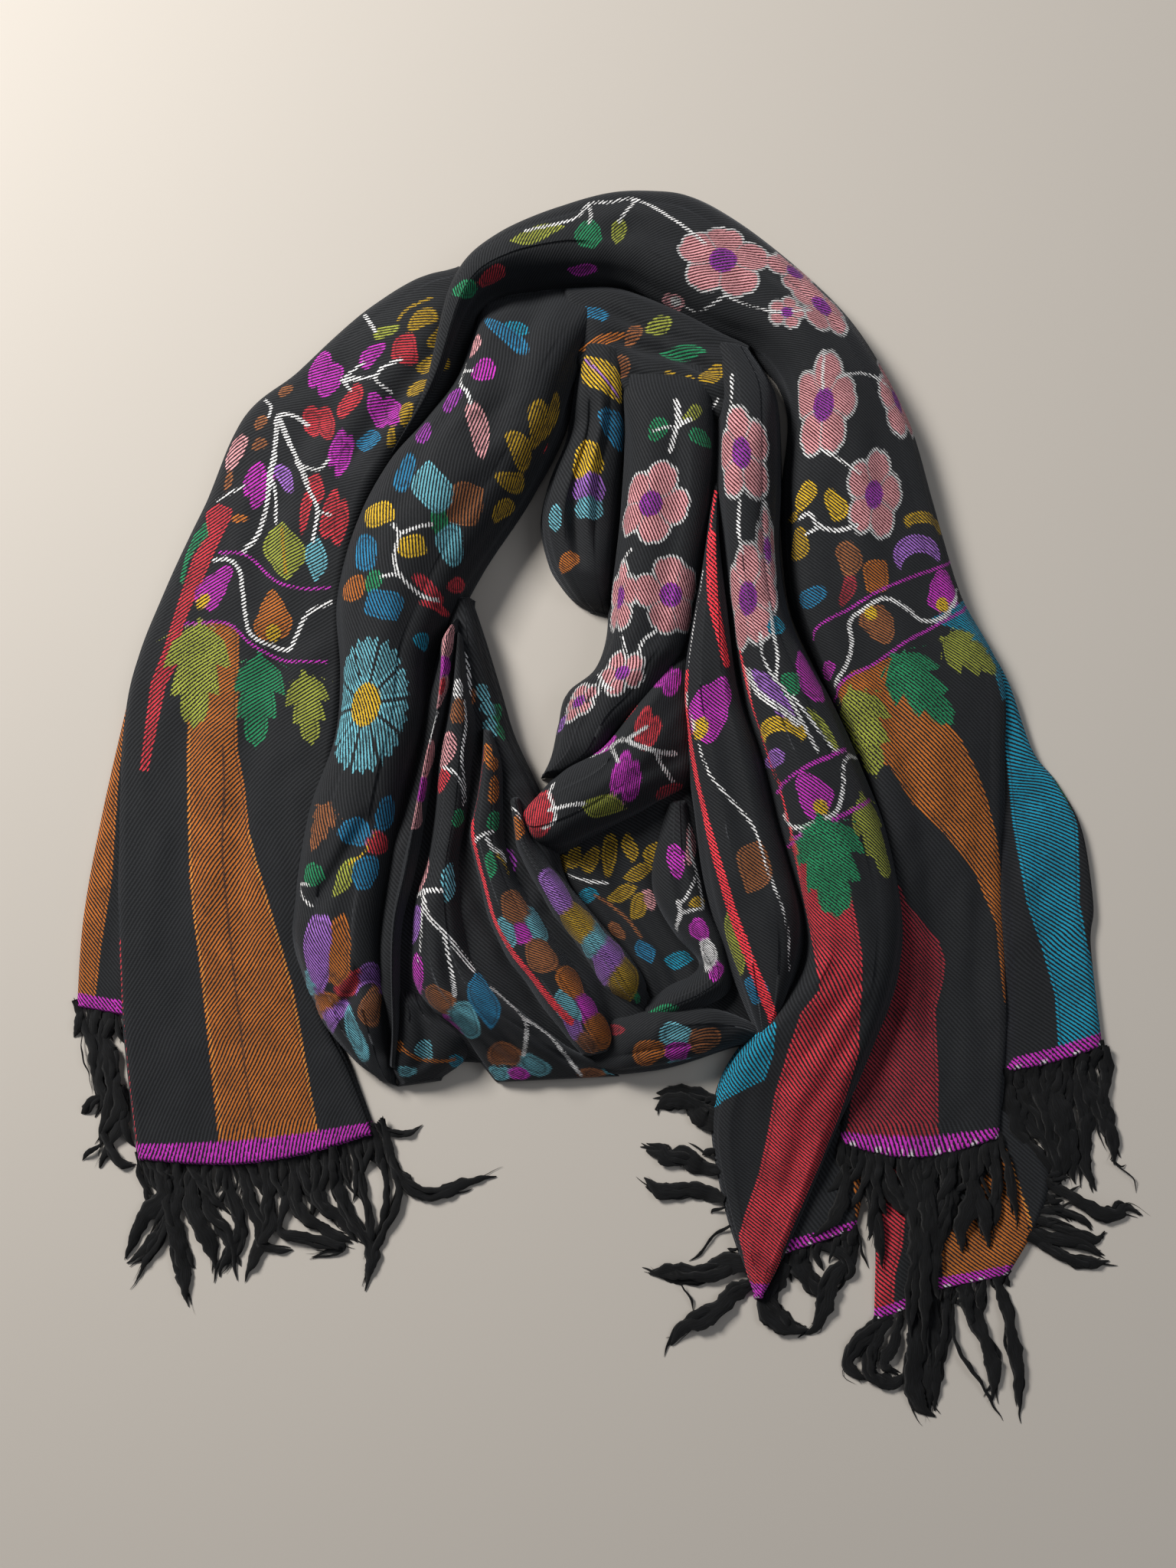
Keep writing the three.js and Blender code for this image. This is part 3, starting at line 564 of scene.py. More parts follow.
LEFT_TAIL_ROWS = [
    [-68, 268, -56, 245, 20, 22, 22],
    [-90, 263, -60, 222, 17, 24, 26],
    [-120, 244, -73, 188, 15, 24, 26],
    [-150, 216, -93, 160, 13, 22, 24],
    [-178, 192, -108, 130, 12, 21, 24],
    [-197, 146, -116, 90, 11, 20, 22],
    [-216, 102, -116, 42, 10, 18, 20],
    [-232, 55, -122, -5, 9, 16, 20],
    [-236, 5, -134, -48, 8, 13, 18],
    [-234, -60, -134, -85, 8, 11, 13],
    [-231, -104, -124, -119, 7, 9, 9],
    [-227, -136, -115, -138, 7, 8, 8],
    [-220, -181, -103, -168, 6, 6, 6],
]
LEFT_TAIL_CREASES = [
    [0.3, 4, 0.8, 0.72, 0.72, 5, 8, 5],
    [2, 6, 0.4, 0.42, 0.5, 2.5, 12, 9],
    [5, 10, 0.66, 0.6, 0.7, 2.5, 10, 8],
    [6, 11, 0.3, 0.34, 0.3, 1.6, 12, 9],
]
left_tail = lay_stretch(LEFT_TAIL_ROWS, LEFT_TAIL_CREASES, layers=3, bow=8, seed=3, bias=10)
weave_patch(left_tail, ORANGE, [
    (-190, 81), (-178, 80), (-173, 74), (-173, 17), (-169, -2), (-165, -30), (-159, -46), (-143, -100),
    (-126, -190), (-176, -190), (-188, -100), (-196, -46), (-199, 14), (-199, 60),
])
weave_patch(left_tail, RED, [
    (-187, 143), (-179, 139), (-180, 134), (-186, 122), (-192, 107), (-198, 92), (-203, 80), (-205, 62),
    (-211, 50), (-219, 7), (-223, 7), (-219, 51), (-213, 67), (-209, 82), (-204, 99), (-199, 116),
    (-192, 127), (-194, 139),
])
weave_patch(left_tail, GREEN, [
    (-193, 134), (-191, 126), (-198, 121), (-202, 114), (-204, 102), (-206, 103), (-204, 117),
    (-200, 128),
])
weave_motifs(
    left_tail,
    lobed=[
        (-133, 209, 20, 19, 60, MAGENTA), (-135, 183, 18, 16, 95, RED), (-123, 166, 21, 11, 70, MAGENTA),
        (-101, 187, 18, 16, 100, MAGENTA), (-166, 152, 20, 15, 60, MAGENTA), (-125, 131, 24, 14, 75, RED),
    ],
    petal=[
        (-119, 193, 19, 9, 60, RED), (-108, 217, 16, 8, 45, MAGENTA), (-91, 219, 16, 13, 70, RED),
        (-152, 154, 17, 7, -60, PURPLE), (-140, 136, 22, 5, 80, RED), (-135, 147, 15, 8, 100, RED),
        (-83, 234, 16, 9, 35, GOLD), (-74, 225, 14, 8, 45, GOLD), (-77, 211, 17, 9, 12, GOLD),
        (-83, 198, 14, 8, 8, GOLD), (-90, 184, 12, 8, 80, GOLD), (-97, 173, 10, 4, 85, GOLD),
        (-101, 229, 13, 6, 20, OLIVE),
    ],
    leaf=[
        (-109, 172, 14, 11, 5, BLUE), (-151, 116, 31, 21, 97, OLIVE, GOLD), (-134, 111, 23, 11, 88, CYAN),
    ],
    oval=[
        (-154, 202, 8, 6, 30, BROWN), (-166, 185, 8, 6, 50, BROWN), (-166, 173, 8, 6, 20, BROWN),
        (-182, 155, 10, 4, 80, BROWN), (-175, 134, 8, 4, 0, ORANGE), (-179, 170, 19, 10, 65, PINK),
    ],
    bud=[(-187, 99, 25, 17, 50, MAGENTA), (-156, 83, 24, 21, 92, ORANGE)],
    toothed=[
        (-195, 55, 54, 38, -92, OLIVE, None, "detail"), (-163, 41, 46, 30, -92, GREEN),
        (-137, 36, 36, 24, -82, OLIVE),
    ],
)
weave_vines(left_tail, MAGENTA, [
    [1.3, (-185, 117), (-175, 116), (-168, 113), (-162, 107), (-154, 100), (-141, 96), (-127, 96)],
    [1.3, (-202, 81), (-184, 81), (-176, 78), (-168, 70), (-160, 65), (-148, 60), (-128, 59)],
])
weave_vines(left_tail, WHITE, [
    [
        2.0, (-188, 113), (-180, 113), (-174, 107), (-172, 97), (-170, 83), (-167, 74), (-159, 69),
        (-148, 66), (-144, 72), (-138, 83), (-126, 89),
    ],
    [2.3, (-157, 187), (-158, 170), (-160, 156), (-161, 142), (-165, 126), (-172, 117)],
    [3.0, (-158, 166), (-160, 156), (-160, 150)],
    [2.0, (-141, 182), (-148, 187), (-155, 188), (-158, 184)],
    [2.6, (-156, 186), (-153, 179), (-150, 172)],
    [1.8, (-150, 172), (-144, 160), (-139, 147), (-134, 136), (-136, 120)],
    [2.8, (-146, 163), (-143, 158), (-140, 150)], [1.5, (-144, 160), (-134, 157), (-129, 162)],
    [1.4, (-160, 157), (-157, 148), (-156, 131)], [1.3, (-173, 151), (-181, 148), (-188, 145)],
    [1.4, (-134, 135), (-127, 133)], [1.4, (-165, 198), (-161, 193), (-162, 187)],
    [1.6, (-123, 205), (-107, 205), (-103, 209), (-93, 213)],
    [2.6, (-124, 205), (-120, 205), (-116, 205)], [1.5, (-107, 205), (-104, 201), (-98, 197)],
    [1.3, (-122, 207), (-116, 211), (-112, 213)], [1.5, (-123, 204), (-119, 199)],
    [1.8, (-114, 241), (-110, 235), (-107, 230)],
])
weave_vines(left_tail, GOLD, [[1.4, (-95, 235), (-90, 241), (-78, 246)]])
weave_vines(left_tail, UMBER, [[0.8, (-180, 18), (-179, -5), (-179, -40), (-170, -110), (-160, -178)]])
weave_vines(left_tail, CORD, [
    [1.0, (-198, 60), (-198, 14), (-195, -46), (-187, -100), (-176, -178)],
    [1.0, (-166, -25), (-160, -46), (-144, -100), (-129, -178)],
])
selvedge = 0.7 - np.abs(left_tail["from_left"] - 0.9)
weave_in(left_tail, "detail", np.where(left_tail["place"] > 9.3, selvedge, OUTSIDE), RED)
hem_band(left_tail, 4.8, stitched=False)
finish_stretch("left_tail", left_tail, twill_right)

# The rest of the left end: a strip of its lower layer that shows on the far left, with the same
# orange stripe and magenta hem. It is the same woven panel, folded under and lying on the floor.
LEFT_TAIL_BACK_ROWS = [
    [-232, 55, -212, 50, 4, 5, 5],
    [-244, -10, -216, -14, 4, 5, 5],
    [-252, -66, -218, -70, 4, 5, 5],
    [-253, -108, -219, -114, 4, 4, 4],
]
left_tail_back = lay_stretch(
    LEFT_TAIL_BACK_ROWS, [[0.3, 2.8, 0.6, 0.55, 0.5, 0.8, 5, 5]], layers=1, seed=4, ripple=0.2
)
weave_band(left_tail_back, ORANGE, [
    [60, -246, -233], [0, -262, -236], [-47, -266, -237], [-80, -266, -241], [-118, -266, -244],
])
hem_band(left_tail_back, 5.5, stitched=False)
finish_stretch("left_tail_back", left_tail_back, twill_left)

# Right tail: the stretch that turns over the back of the neck and runs down the right side to its
# hem, three layers of the same twill. Pink flowers follow the arch, then the meander border, an orange
# stripe, a red stripe whose red dye is darkened evenly as painted shade, and the magenta hem band.
RIGHT_TAIL_ROWS = [
    [-99, 163, -94, 169, 20, 22, 20],
    [-83, 197, -73, 201, 24, 27, 26],
    [-70, 255, -55, 243, 26, 31, 30],
    [-46, 283, -33, 254, 22, 33, 30],
    [0, 304, 1, 254, 17, 32, 28],
    [34, 308, 18, 252, 15, 32, 28],
    [62, 301, 34, 245, 15, 32, 28],
    [100, 272, 62, 229, 15, 32, 28],
    [136, 233, 87, 215, 15, 31, 26],
    [162, 183, 101, 188, 14, 30, 24],
    [174, 138, 97, 140, 13, 28, 22],
    [186, 92, 100, 89, 12, 26, 20],
    [205, 50, 117, 46, 11, 23, 18],
    [205, 5, 132, 3, 10, 20, 18],
    [202, -50, 140, -48, 9, 15, 18],
    [202, -90, 136, -91, 8, 12, 15],
    [202, -118, 130, -120, 8, 10, 11],
    [199, -143, 122, -143, 7, 9, 9],
    [196, -168, 118, -171, 7, 7, 7],
]
RIGHT_TAIL_CREASES = [
    [4, 8, 0.62, 0.55, 0.7, 3, 9, 7],
    [8, 13, 0.3, 0.38, 0.3, 2.5, 12, 9],
    [11, 17, 0.78, 0.6, 0.5, 3.5, 10, 7],
    [13, 17, 0.2, 0.24, 0.2, 2, 8, 6],
    [4.2, 8.6, 0.28, 0.34, 0.3, 1.8, 9, 6],
    [6, 10, 0.78, 0.84, 0.8, 2.2, 5, 7],
    [9, 13, 0.62, 0.7, 0.62, 1.6, 6, 9],
    [12.5, 17.5, 0.42, 0.4, 0.34, 1.8, 7, 9],
    [14.5, 17.9, 0.88, 0.8, 0.74, 1.6, 6, 6],
]
right_tail = lay_stretch(RIGHT_TAIL_ROWS, RIGHT_TAIL_CREASES, layers=3, bow=9, seed=8)
# The red stripe takes the dark red: its red dye darkened evenly as painted shade from the centre tail beside
# it.
weave_band(right_tail, DARK_RED, [
    [-52, 144, 149], [-62, 144, 153], [-70, 145, 161], [-78, 146, 168], [-87, 147, 171], [-97, 145, 170],
    [-111, 142, 166], [-142, 127, 166], [-186, 119, 165],
])
weave_patch(right_tail, ORANGE, [
    (119, 43), (129, 51), (149, 58), (156, 46), (166, 34), (180, 18), (188, 2), (193, -12), (197, -27),
    (200, -45), (204, -70), (204, -107), (199, -107), (196, -70), (186, -45), (172, -27), (156, -12),
    (146, 5), (131, 10), (124, 22),
])
weave_patch(right_tail, TEAL, [
    (166, 76), (196, 92), (206, 70), (209, 40), (203, 38), (196, 62), (182, 72),
])
weave_motifs(
    right_tail,
    leaf=[(-24, 274, 28, 9, 15, OLIVE), (-1, 254, 16, 7, 0, MAGENTA), (141, 97, 19, 14, 60, ORANGE)],
    oval=[
        (2, 273, 15, 13, 90, GREEN), (17, 275, 13, 7, 80, OLIVE), (-45, 252, 14, 10, 30, RED),
        (-59, 246, 14, 9, 0, GREEN), (40, 236, 14, 10, 30, PINK, WHITE), (99, 129, 8, 5, 0, GOLD),
        (115, 53, 10, 8, 20, MAGENTA),
    ],
    flower=[
        (69, 259, 46, 43, 10, PINK), (106, 256, 34, 26, -40, PINK), (118, 236, 40, 26, -50, PINK),
        (100, 230, 20, 18, 0, PINK), (117, 183, 54, 33, 85, PINK), (158, 189, 46, 26, 100, PINK),
        (141, 138, 48, 29, 80, PINK),
    ],
    petal=[
        (107, 138, 15, 9, 65, YELLOW), (122, 133, 16, 9, 110, YELLOW), (103, 115, 16, 11, 75, GOLD),
        (128, 106, 17, 11, 100, BROWN), (127, 90, 15, 6, 70, DARK_RED), (109, 88, 16, 9, 10, BLUE),
    ],
    crescent=[(168, 125, 24, 12, -5, GOLD), (162, 109, 24, 20, 12, PURPLE)],
    bud=[(142, 73, 20, 17, -55, BROWN), (175, 92, 22, 19, 80, MAGENTA)],
    toothed=[
        (133, 22, 44, 34, -75, OLIVE, None, "detail"), (162, 42, 44, 30, -50, GREEN, None, "detail"),
        (188, 60, 34, 26, -25, OLIVE),
    ],
)
weave_vines(right_tail, MAGENTA, [
    [1.3, (107, 68), (113, 74), (127, 81), (141, 89), (155, 96), (175, 104), (192, 111)],
    [1.3, (112, 36), (118, 41), (126, 48), (140, 55), (155, 65), (174, 76), (192, 86), (200, 92)],
])
weave_vines(right_tail, WHITE, [
    [
        1.9, (118, 45), (126, 54), (129, 65), (128, 75), (135, 81), (145, 86), (155, 82), (164, 76),
        (175, 79), (185, 94),
    ],
    [1.7, (-30, 276), (-6, 282), (2, 292), (13, 293), (26, 295), (48, 279), (60, 268)],
    [1.4, (2, 292), (3, 283), (2, 279)], [1.4, (26, 295), (20, 285), (17, 280)],
    [1.3, (69, 240), (78, 236), (88, 232), (100, 230), (112, 232)],
    [1.3, (40, 236), (52, 232), (62, 236), (70, 240)], [1.3, (118, 210), (117, 200), (117, 190)],
    [1.3, (124, 196), (138, 200), (150, 196), (158, 190)], [1.3, (117, 160), (126, 154), (134, 148)],
    [2.2, (104, 127), (109, 129), (114, 123), (122, 120), (132, 122)], [1.8, (108, 119), (114, 122)],
])
hem_band(right_tail, 3.1)
finish_stretch("right_tail", right_tail, twill_right)

# Right corner: the part under the right tail, which shows on the far right with its teal stripe and
# its own magenta hem. It is two thin layers of the same twill on the floor.
RIGHT_CORNER_ROWS = [
    [199, 66, 186, 44, 6, 7, 7],
    [208, 48, 191, 20, 6, 8, 8],
    [218, 15, 194, -5, 6, 8, 8],
    [229, -1, 195, -25, 6, 8, 8],
    [240, -24, 195, -45, 6, 8, 8],
    [244, -60, 196, -80, 5, 7, 7],
    [242, -80, 196, -100, 5, 6, 6],
    [245, -126, 194, -139, 5, 5, 5],
]
RIGHT_CORNER_CREASES = [
    [2, 6, 0.5, 0.5, 0.5, 1.5, 8, 6],
    [1, 5, 0.75, 0.72, 0.8, 1.2, 5, 6],
    [4, 6.8, 0.3, 0.34, 0.3, 0.9, 6, 5],
]
right_corner = lay_stretch(RIGHT_CORNER_ROWS, RIGHT_CORNER_CREASES, layers=2, bow=2, seed=12, ripple=0.35)
weave_band(right_corner, TEAL, [
    [70, 196, 225], [49, 200, 222], [8, 204, 232], [-23, 206, 237], [-60, 211, 236], [-83, 218, 240],
    [-104, 223, 262], [-140, 224, 262],
])
weave_motifs(
    right_corner,
    toothed=[(232, -2, 32, 10, -80, GREEN)],
    leaf=[(216, 24, 9, 3, -40, MAGENTA)],
)
weave_in(right_corner, "detail", 9.0 - right_corner["from_right"], BLACK)
hem_band(right_corner)
finish_stretch("right_corner", right_corner, twill_right)

# Lower layers at the right end: three scraps of the same panel that show between the tails, one
# with the orange stripe, one with the red and one nearly black, each with its magenta hem.
LOWER_CORNER_ROWS = [
    [153, -160, 199, -157, 4, 4, 4],
    [153, -178, 212, -175, 4, 4, 4],
    [153, -197, 218, -190, 4, 4, 4],
    [154, -218, 211, -211, 4, 4, 4],
    [155, -241, 198, -232, 4, 4, 4],
]
lower_corner = lay_stretch(
    LOWER_CORNER_ROWS, [[1, 3.6, 0.5, 0.5, 0.6, 0.8, 7, 6]], layers=1, seed=14, ripple=0.2
)
weave_patch(lower_corner, ORANGE, [
    (167, -250), (166, -222), (172, -212), (180, -202), (188, -188), (197, -176), (200, -184),
    (204, -197), (208, -212), (216, -216), (208, -250),
])
weave_vines(lower_corner, CORD, [[1.0, (197, -176), (200, -184), (204, -197), (208, -211)]])
hem_band(lower_corner)
finish_stretch("lower_corner", lower_corner, twill_left)

LOWER_CORNER_UNDER_ROWS = [
    [133, -160, 158, -160, 3, 3, 3],
    [134, -195, 158, -192, 3, 3, 3],
    [135, -225, 158, -220, 3, 3, 3],
    [134, -254, 153, -247, 3, 3, 3],
]
lower_corner_under = lay_stretch(LOWER_CORNER_UNDER_ROWS, [], layers=1, seed=15, ripple=0.15)
weave_band(lower_corner_under, RED, [
    [-185, 143, 151], [-203, 140, 150], [-220, 136, 148], [-234, 134, 144], [-262, 133, 142],
])
hem_band(lower_corner_under)
finish_stretch("lower_corner_under", lower_corner_under, twill_left)

CENTRE_TAIL_BACK_ROWS = [
    [112, -165, 131, -165, 4, 5, 4],
    [104, -187, 131, -184, 4, 5, 4],
    [97, -205, 130, -200, 4, 5, 4],
    [92, -224, 127, -212, 4, 4, 4],
]
centre_tail_back = lay_stretch(CENTRE_TAIL_BACK_ROWS, [], layers=1, seed=16, ripple=0.2)
weave_patch(centre_tail_back, ORANGE, [(125, -180), (134, -180), (134, -207), (127, -207)])
hem_band(centre_tail_back)
finish_stretch("centre_tail_back", centre_tail_back, twill_left)

# Back folds: the gathered cloth under the turn at the back of the neck, one layer of the same
# twill that slopes down into the hollow behind the ribbon. Soft pleats run along it.
BACK_FOLDS_ROWS = [
    [-10, 258, -2, 203, 14, 19, 20],
    [12, 258, 13, 194, 14, 21, 21],
    [30, 252, 30, 180, 14, 22, 21],
    [48, 244, 48, 176, 14, 22, 21],
    [66, 234, 66, 175, 14, 22, 21],
    [82, 226, 78, 185, 13, 18, 18],
]
BACK_FOLDS_CREASES = [
    [0.5, 4.5, 0.55, 0.45, 0.5, 5, 5, 5],
    [1, 4.5, 0.75, 0.72, 0.8, 4, 4, 5],
    [0.4, 4.8, 0.3, 0.32, 0.24, 3, 4, 5],
]
back_folds = lay_stretch(BACK_FOLDS_ROWS, BACK_FOLDS_CREASES, layers=1, seed=20, ripple=0.7, bias=15)
weave_motifs(
    back_folds,
    crescent=[(-6, 234, 34, 14, 10, BLUE)],
    leaf=[(8, 222, 26, 6, 20, ORANGE), (49, 216, 24, 8, 0, GREEN), (80, 210, 22, 8, 30, OLIVE)],
    oval=[
        (40, 199, 12, 9, 60, GOLD), (51, 196, 12, 9, 80, GOLD), (63, 203, 14, 9, 40, GOLD),
        (37, 231, 14, 9, 30, OLIVE), (34, 181, 8, 6, 0, GREEN), (51, 179, 8, 6, 0, GREEN),
        (24, 226, 13, 7, 60, BROWN), (18, 208, 12, 8, 90, BROWN),
    ],
)
weave_vines(back_folds, WHITE, [[1.2, (34, 190), (42, 184), (52, 188), (60, 184), (66, 190)]])
finish_stretch("back_folds", back_folds, twill_right)

# Neck folds: the cloth that stands round the back and the right of the neck opening, pleated as it
# goes down, one turn of the same twill. Narrow ridges run towards the front.
NECK_FOLDS_ROWS = [
    [-6, 222, 22, 216, 18, 22, 20],
    [-9, 192, 23, 192, 20, 27, 20],
    [-12, 174, 23, 174, 20, 28, 20],
    [-20, 154, 20, 150, 20, 28, 20],
    [-24, 132, 18, 128, 18, 27, 20],
    [-20, 111, 16, 105, 17, 23, 19],
    [-14, 100, 15, 95, 13, 18, 15],
    [-7, 92, 14, 88, 8, 11, 9],
    [0, 88, 12, 85, 3, 4, 3],
]
NECK_FOLDS_CREASES = [
    [0.5, 5.5, 0.36, 0.4, 0.5, 7, 4, 4],
    [0.5, 5, 0.68, 0.7, 0.78, 6, 4, 3],
    [1, 5.6, 0.14, 0.18, 0.2, 3, 3, 3],
]
neck_folds = lay_stretch(NECK_FOLDS_ROWS, NECK_FOLDS_CREASES, layers=3, seed=23, ripple=0.6)
weave_motifs(
    neck_folds,
    leaf=[(8, 202, 34, 16, -50, YELLOW, PURPLE)],
    oval=[
        (15, 176, 22, 13, -60, BLUE), (1, 158, 22, 15, 90, YELLOW), (2, 145, 17, 16, 90, PURPLE),
        (2, 135, 14, 14, 90, CYAN), (-16, 130, 13, 8, 90, CYAN), (-9, 108, 12, 8, 30, ORANGE),
    ],
)
finish_stretch("neck_folds", neck_folds, twill_left)

# Front hollow: the dark valley between the front folds and the ribbons on the right, the panel's
# single layer sunk deep between them, with gold leaves on thin stems. A soft lip of the same cloth
# curls round its right side and its bottom.
FRONT_HOLLOW_ROWS = [
    [-20, -28, 55, -2, 13, 13, 15],
    [-12, -48, 60, -34, 13, 12, 14],
    [4, -68, 66, -62, 13, 11, 13],
    [20, -88, 74, -86, 12, 11, 12],
    [28, -108, 80, -106, 11, 11, 11],
    [30, -120, 84, -118, 10, 10, 9],
]
FRONT_HOLLOW_CREASES = [
    [0.5, 4.5, 0.3, 0.34, 0.4, 4, 4, 5],
    [0.5, 4.5, 0.6, 0.62, 0.7, 3, 5, 6],
    [1, 4.8, 0.16, 0.2, 0.26, 2.5, 4, 5],
]
front_hollow = lay_stretch(FRONT_HOLLOW_ROWS, FRONT_HOLLOW_CREASES, layers=1, seed=26, ripple=0.9)
weave_motifs(
    front_hollow,
    leaf=[
        (-13, -41, 13, 7, 30, GOLD), (-6, -38, 12, 7, 60, GOLD), (21, -33, 15, 7, 100, GOLD),
        (25, -45, 16, 7, 20, GOLD), (17, -55, 16, 7, 20, GOLD), (25, -61, 15, 8, 60, GOLD),
        (0, -56, 12, 7, 0, TEAL), (28, -83, 13, 8, -60, BLUE), (44, -87, 14, 8, 0, TEAL),
    ],
    oval=[
        (2, -39, 13, 7, 65, GOLD), (11, -36, 20, 7, 85, GOLD), (33, -35, 13, 8, 40, GOLD),
        (30, -58, 10, 6, 110, PINK), (14, -73, 10, 6, -40, BROWN),
    ],
)
weave_vines(front_hollow, WHITE, [[1.3, (-10, -46), (0, -49), (10, -50)]])
weave_vines(front_hollow, BROWN, [[1.2, (4, -56), (12, -61), (20, -68), (26, -76)]])
finish_stretch("front_hollow", front_hollow, twill_left)

HOLLOW_LIP_ROWS = [
    [36, -14, 52, -12, 17, 19, 18],
    [31, -36, 57, -38, 17, 21, 21],
    [31, -56, 62, -63, 17, 22, 22],
    [41, -74, 70, -84, 18, 23, 22],
    [53, -87, 70, -101, 18, 23, 21],
    [49, -94, 59, -109, 17, 22, 18],
    [39, -99, 45, -115, 17, 22, 17],
    [28, -106, 31, -119, 13, 18, 13],
]
hollow_lip = lay_stretch(
    HOLLOW_LIP_ROWS, [[0.6, 5, 0.5, 0.56, 0.5, 2, 4, 5]], layers=1, seed=27, ripple=0.5, rim=0.42, bias=10
)
weave_motifs(
    hollow_lip,
    oval=[(43, -40, 16, 9, 100, MAGENTA), (54, -73, 11, 9, 120, MAGENTA), (54, -60, 9, 5, 10, GOLD)],
    petal=[
        (52, -33, 18, 7, 80, PINK), (58, -84, 15, 8, 100, WHITE), (62, -93, 9, 7, 60, MAGENTA),
        (36, -112, 15, 6, 15, GREEN),
    ],
)
weave_vines(hollow_lip, WHITE, [
    [1.9, (52, -22), (51, -34), (55, -48), (57, -62)], [2.2, (44, -60), (45, -66), (41, -72)],
    [1.4, (44, -62), (49, -56), (53, -48)], [1.3, (44, -66), (50, -64), (57, -63)],
])
finish_stretch("hollow_lip", hollow_lip, twill_left, node="front_hollow")

# Under fold: the turn of the panel that closes the front below the hollow, a rounded double layer
# that comes out from under the pleats and lies across the bottom.
UNDER_FOLD_ROWS = [
    [10, -112, 0, -140, 9, 11, 5],
    [24, -109, 14, -142, 16, 20, 6],
    [36, -107, 26, -141, 19, 24, 7],
    [48, -107, 38, -139, 21, 25, 7],
    [62, -108, 52, -135, 20, 24, 7],
    [76, -114, 70, -129, 14, 17, 7],
    [88, -122, 84, -127, 8, 9, 6],
]
UNDER_FOLD_CREASES = [
    [2, 5, 0.42, 0.46, 0.5, 3, 6, 5],
    [1, 4.5, 0.7, 0.72, 0.8, 1.5, 5, 5],
]
under_fold = lay_stretch(UNDER_FOLD_ROWS, UNDER_FOLD_CREASES, layers=2, seed=29, bias=15)
weave_motifs(
    under_fold,
    oval=[(14, -120, 8, 5, 0, DARK_RED), (44, -138, 12, 5, 0, CYAN)],
    petal=[
        (30, -131, 16, 12, 35, ORANGE), (43, -122, 16, 10, 0, CYAN), (43, -131, 12, 11, 90, MAGENTA),
        (56, -125, 16, 12, 35, BROWN),
    ],
)
finish_stretch("under_fold", under_fold, twill_right)

# Right turn: the fold with the pink flowers, right of the neck opening. Three layers of the panel go
# down from the back and turn under the smooth fold.
RIGHT_TURN_ROWS = [
    [14, 216, 66, 216, 11, 14, 11],
    [14, 194, 67, 194, 22, 27, 22],
    [17, 170, 68, 170, 28, 33, 26],
    [15, 136, 66, 134, 28, 33, 28],
    [11, 100, 60, 98, 28, 33, 29],
    [9, 72, 54, 68, 28, 32, 29],
    [2, 55, 46, 55, 27, 31, 29],
    [-11, 44, 36, 38, 26, 30, 28],
    [-15, 29, 20, 24, 24, 28, 26],
    [-18, 14, 10, 12, 22, 24, 22],
    [-22, 4, -8, 4, 18, 20, 18],
]
RIGHT_TURN_CREASES = [
    [1, 6, 0.5, 0.6, 0.55, 3, 8, 6],
    [5, 9, 0.3, 0.35, 0.4, 3, 6, 6],
    [3, 8, 0.75, 0.78, 0.7, 1.8, 5, 5],
]
right_turn = lay_stretch(RIGHT_TURN_ROWS, RIGHT_TURN_CREASES, layers=3, seed=31, bias=-18)
weave_motifs(
    right_turn,
    flower=[
        (32, 133, 44, 38, 62, PINK), (14, 88, 38, 24, 80, PINK), (42, 88, 40, 38, 100, PINK),
        (18, 50, 26, 22, 40, PINK), (-4, 37, 26, 16, 30, PINK),
    ],
    petal=[(-18, 28, 13, 6, 30, PURPLE), (53, 179, 12, 6, 40, OLIVE)],
    oval=[(36, 171, 13, 9, 60, GREEN), (58, 167, 14, 8, -20, GREEN)],
)
weave_vines(right_turn, WHITE, [
    [2.2, (42, 160), (44, 168), (46, 173), (52, 176)], [1.3, (34, 170), (40, 172), (46, 173)],
    [3.2, (45, 186), (46, 180), (46, 174)], [1.8, (22, 111), (17, 107), (15, 102)],
    [1.4, (17, 69), (19, 62), (20, 57)], [1.8, (34, 70), (28, 65), (26, 59)],
    [2.0, (6, 50), (10, 44), (13, 42)],
])
finish_stretch("right_turn", right_turn, twill_left)

# Front folds: the panel gathered across the front of the neck, a sunk base with uneven pleats lying
# over it. They start as narrow ridges at the neck and spread towards the front, with deep dark
# valleys between them. The red selvedge runs along one of them. All are the same single panel.
FRONT_FOLDS_ROWS = [
    [-66, 90, -57, 90, 16, 18, 15],
    [-74, 68, -50, 70, 18, 22, 17],
    [-80, 48, -43, 48, 20, 25, 18],
    [-86, 25, -36, 24, 20, 26, 19],
    [-92, 0, -26, 2, 21, 26, 20],
    [-98, -25, -15, -22, 22, 27, 21],
    [-103, -52, -8, -48, 23, 27, 22],
    [-105, -78, 8, -70, 23, 27, 21],
    [-105, -98, 22, -88, 21, 25, 20],
    [-103, -112, 32, -106, 17, 21, 17],
    [-100, -124, 34, -124, 11, 14, 12],
    [-97, -132, 30, -138, 5, 6, 5],
]
FRONT_FOLDS_CREASES = [
    [1, 5, 0.72, 0.7, 0.7, 4, 4, 5],
    [2, 6, 0.46, 0.44, 0.44, 3, 4, 4],
    [5, 10, 0.5, 0.56, 0.62, 3, 5, 5],
    [6, 11, 0.8, 0.84, 0.86, 3, 4, 6],
]
front_folds = lay_stretch(FRONT_FOLDS_ROWS, FRONT_FOLDS_CREASES, layers=3, seed=34, ripple=0.9)
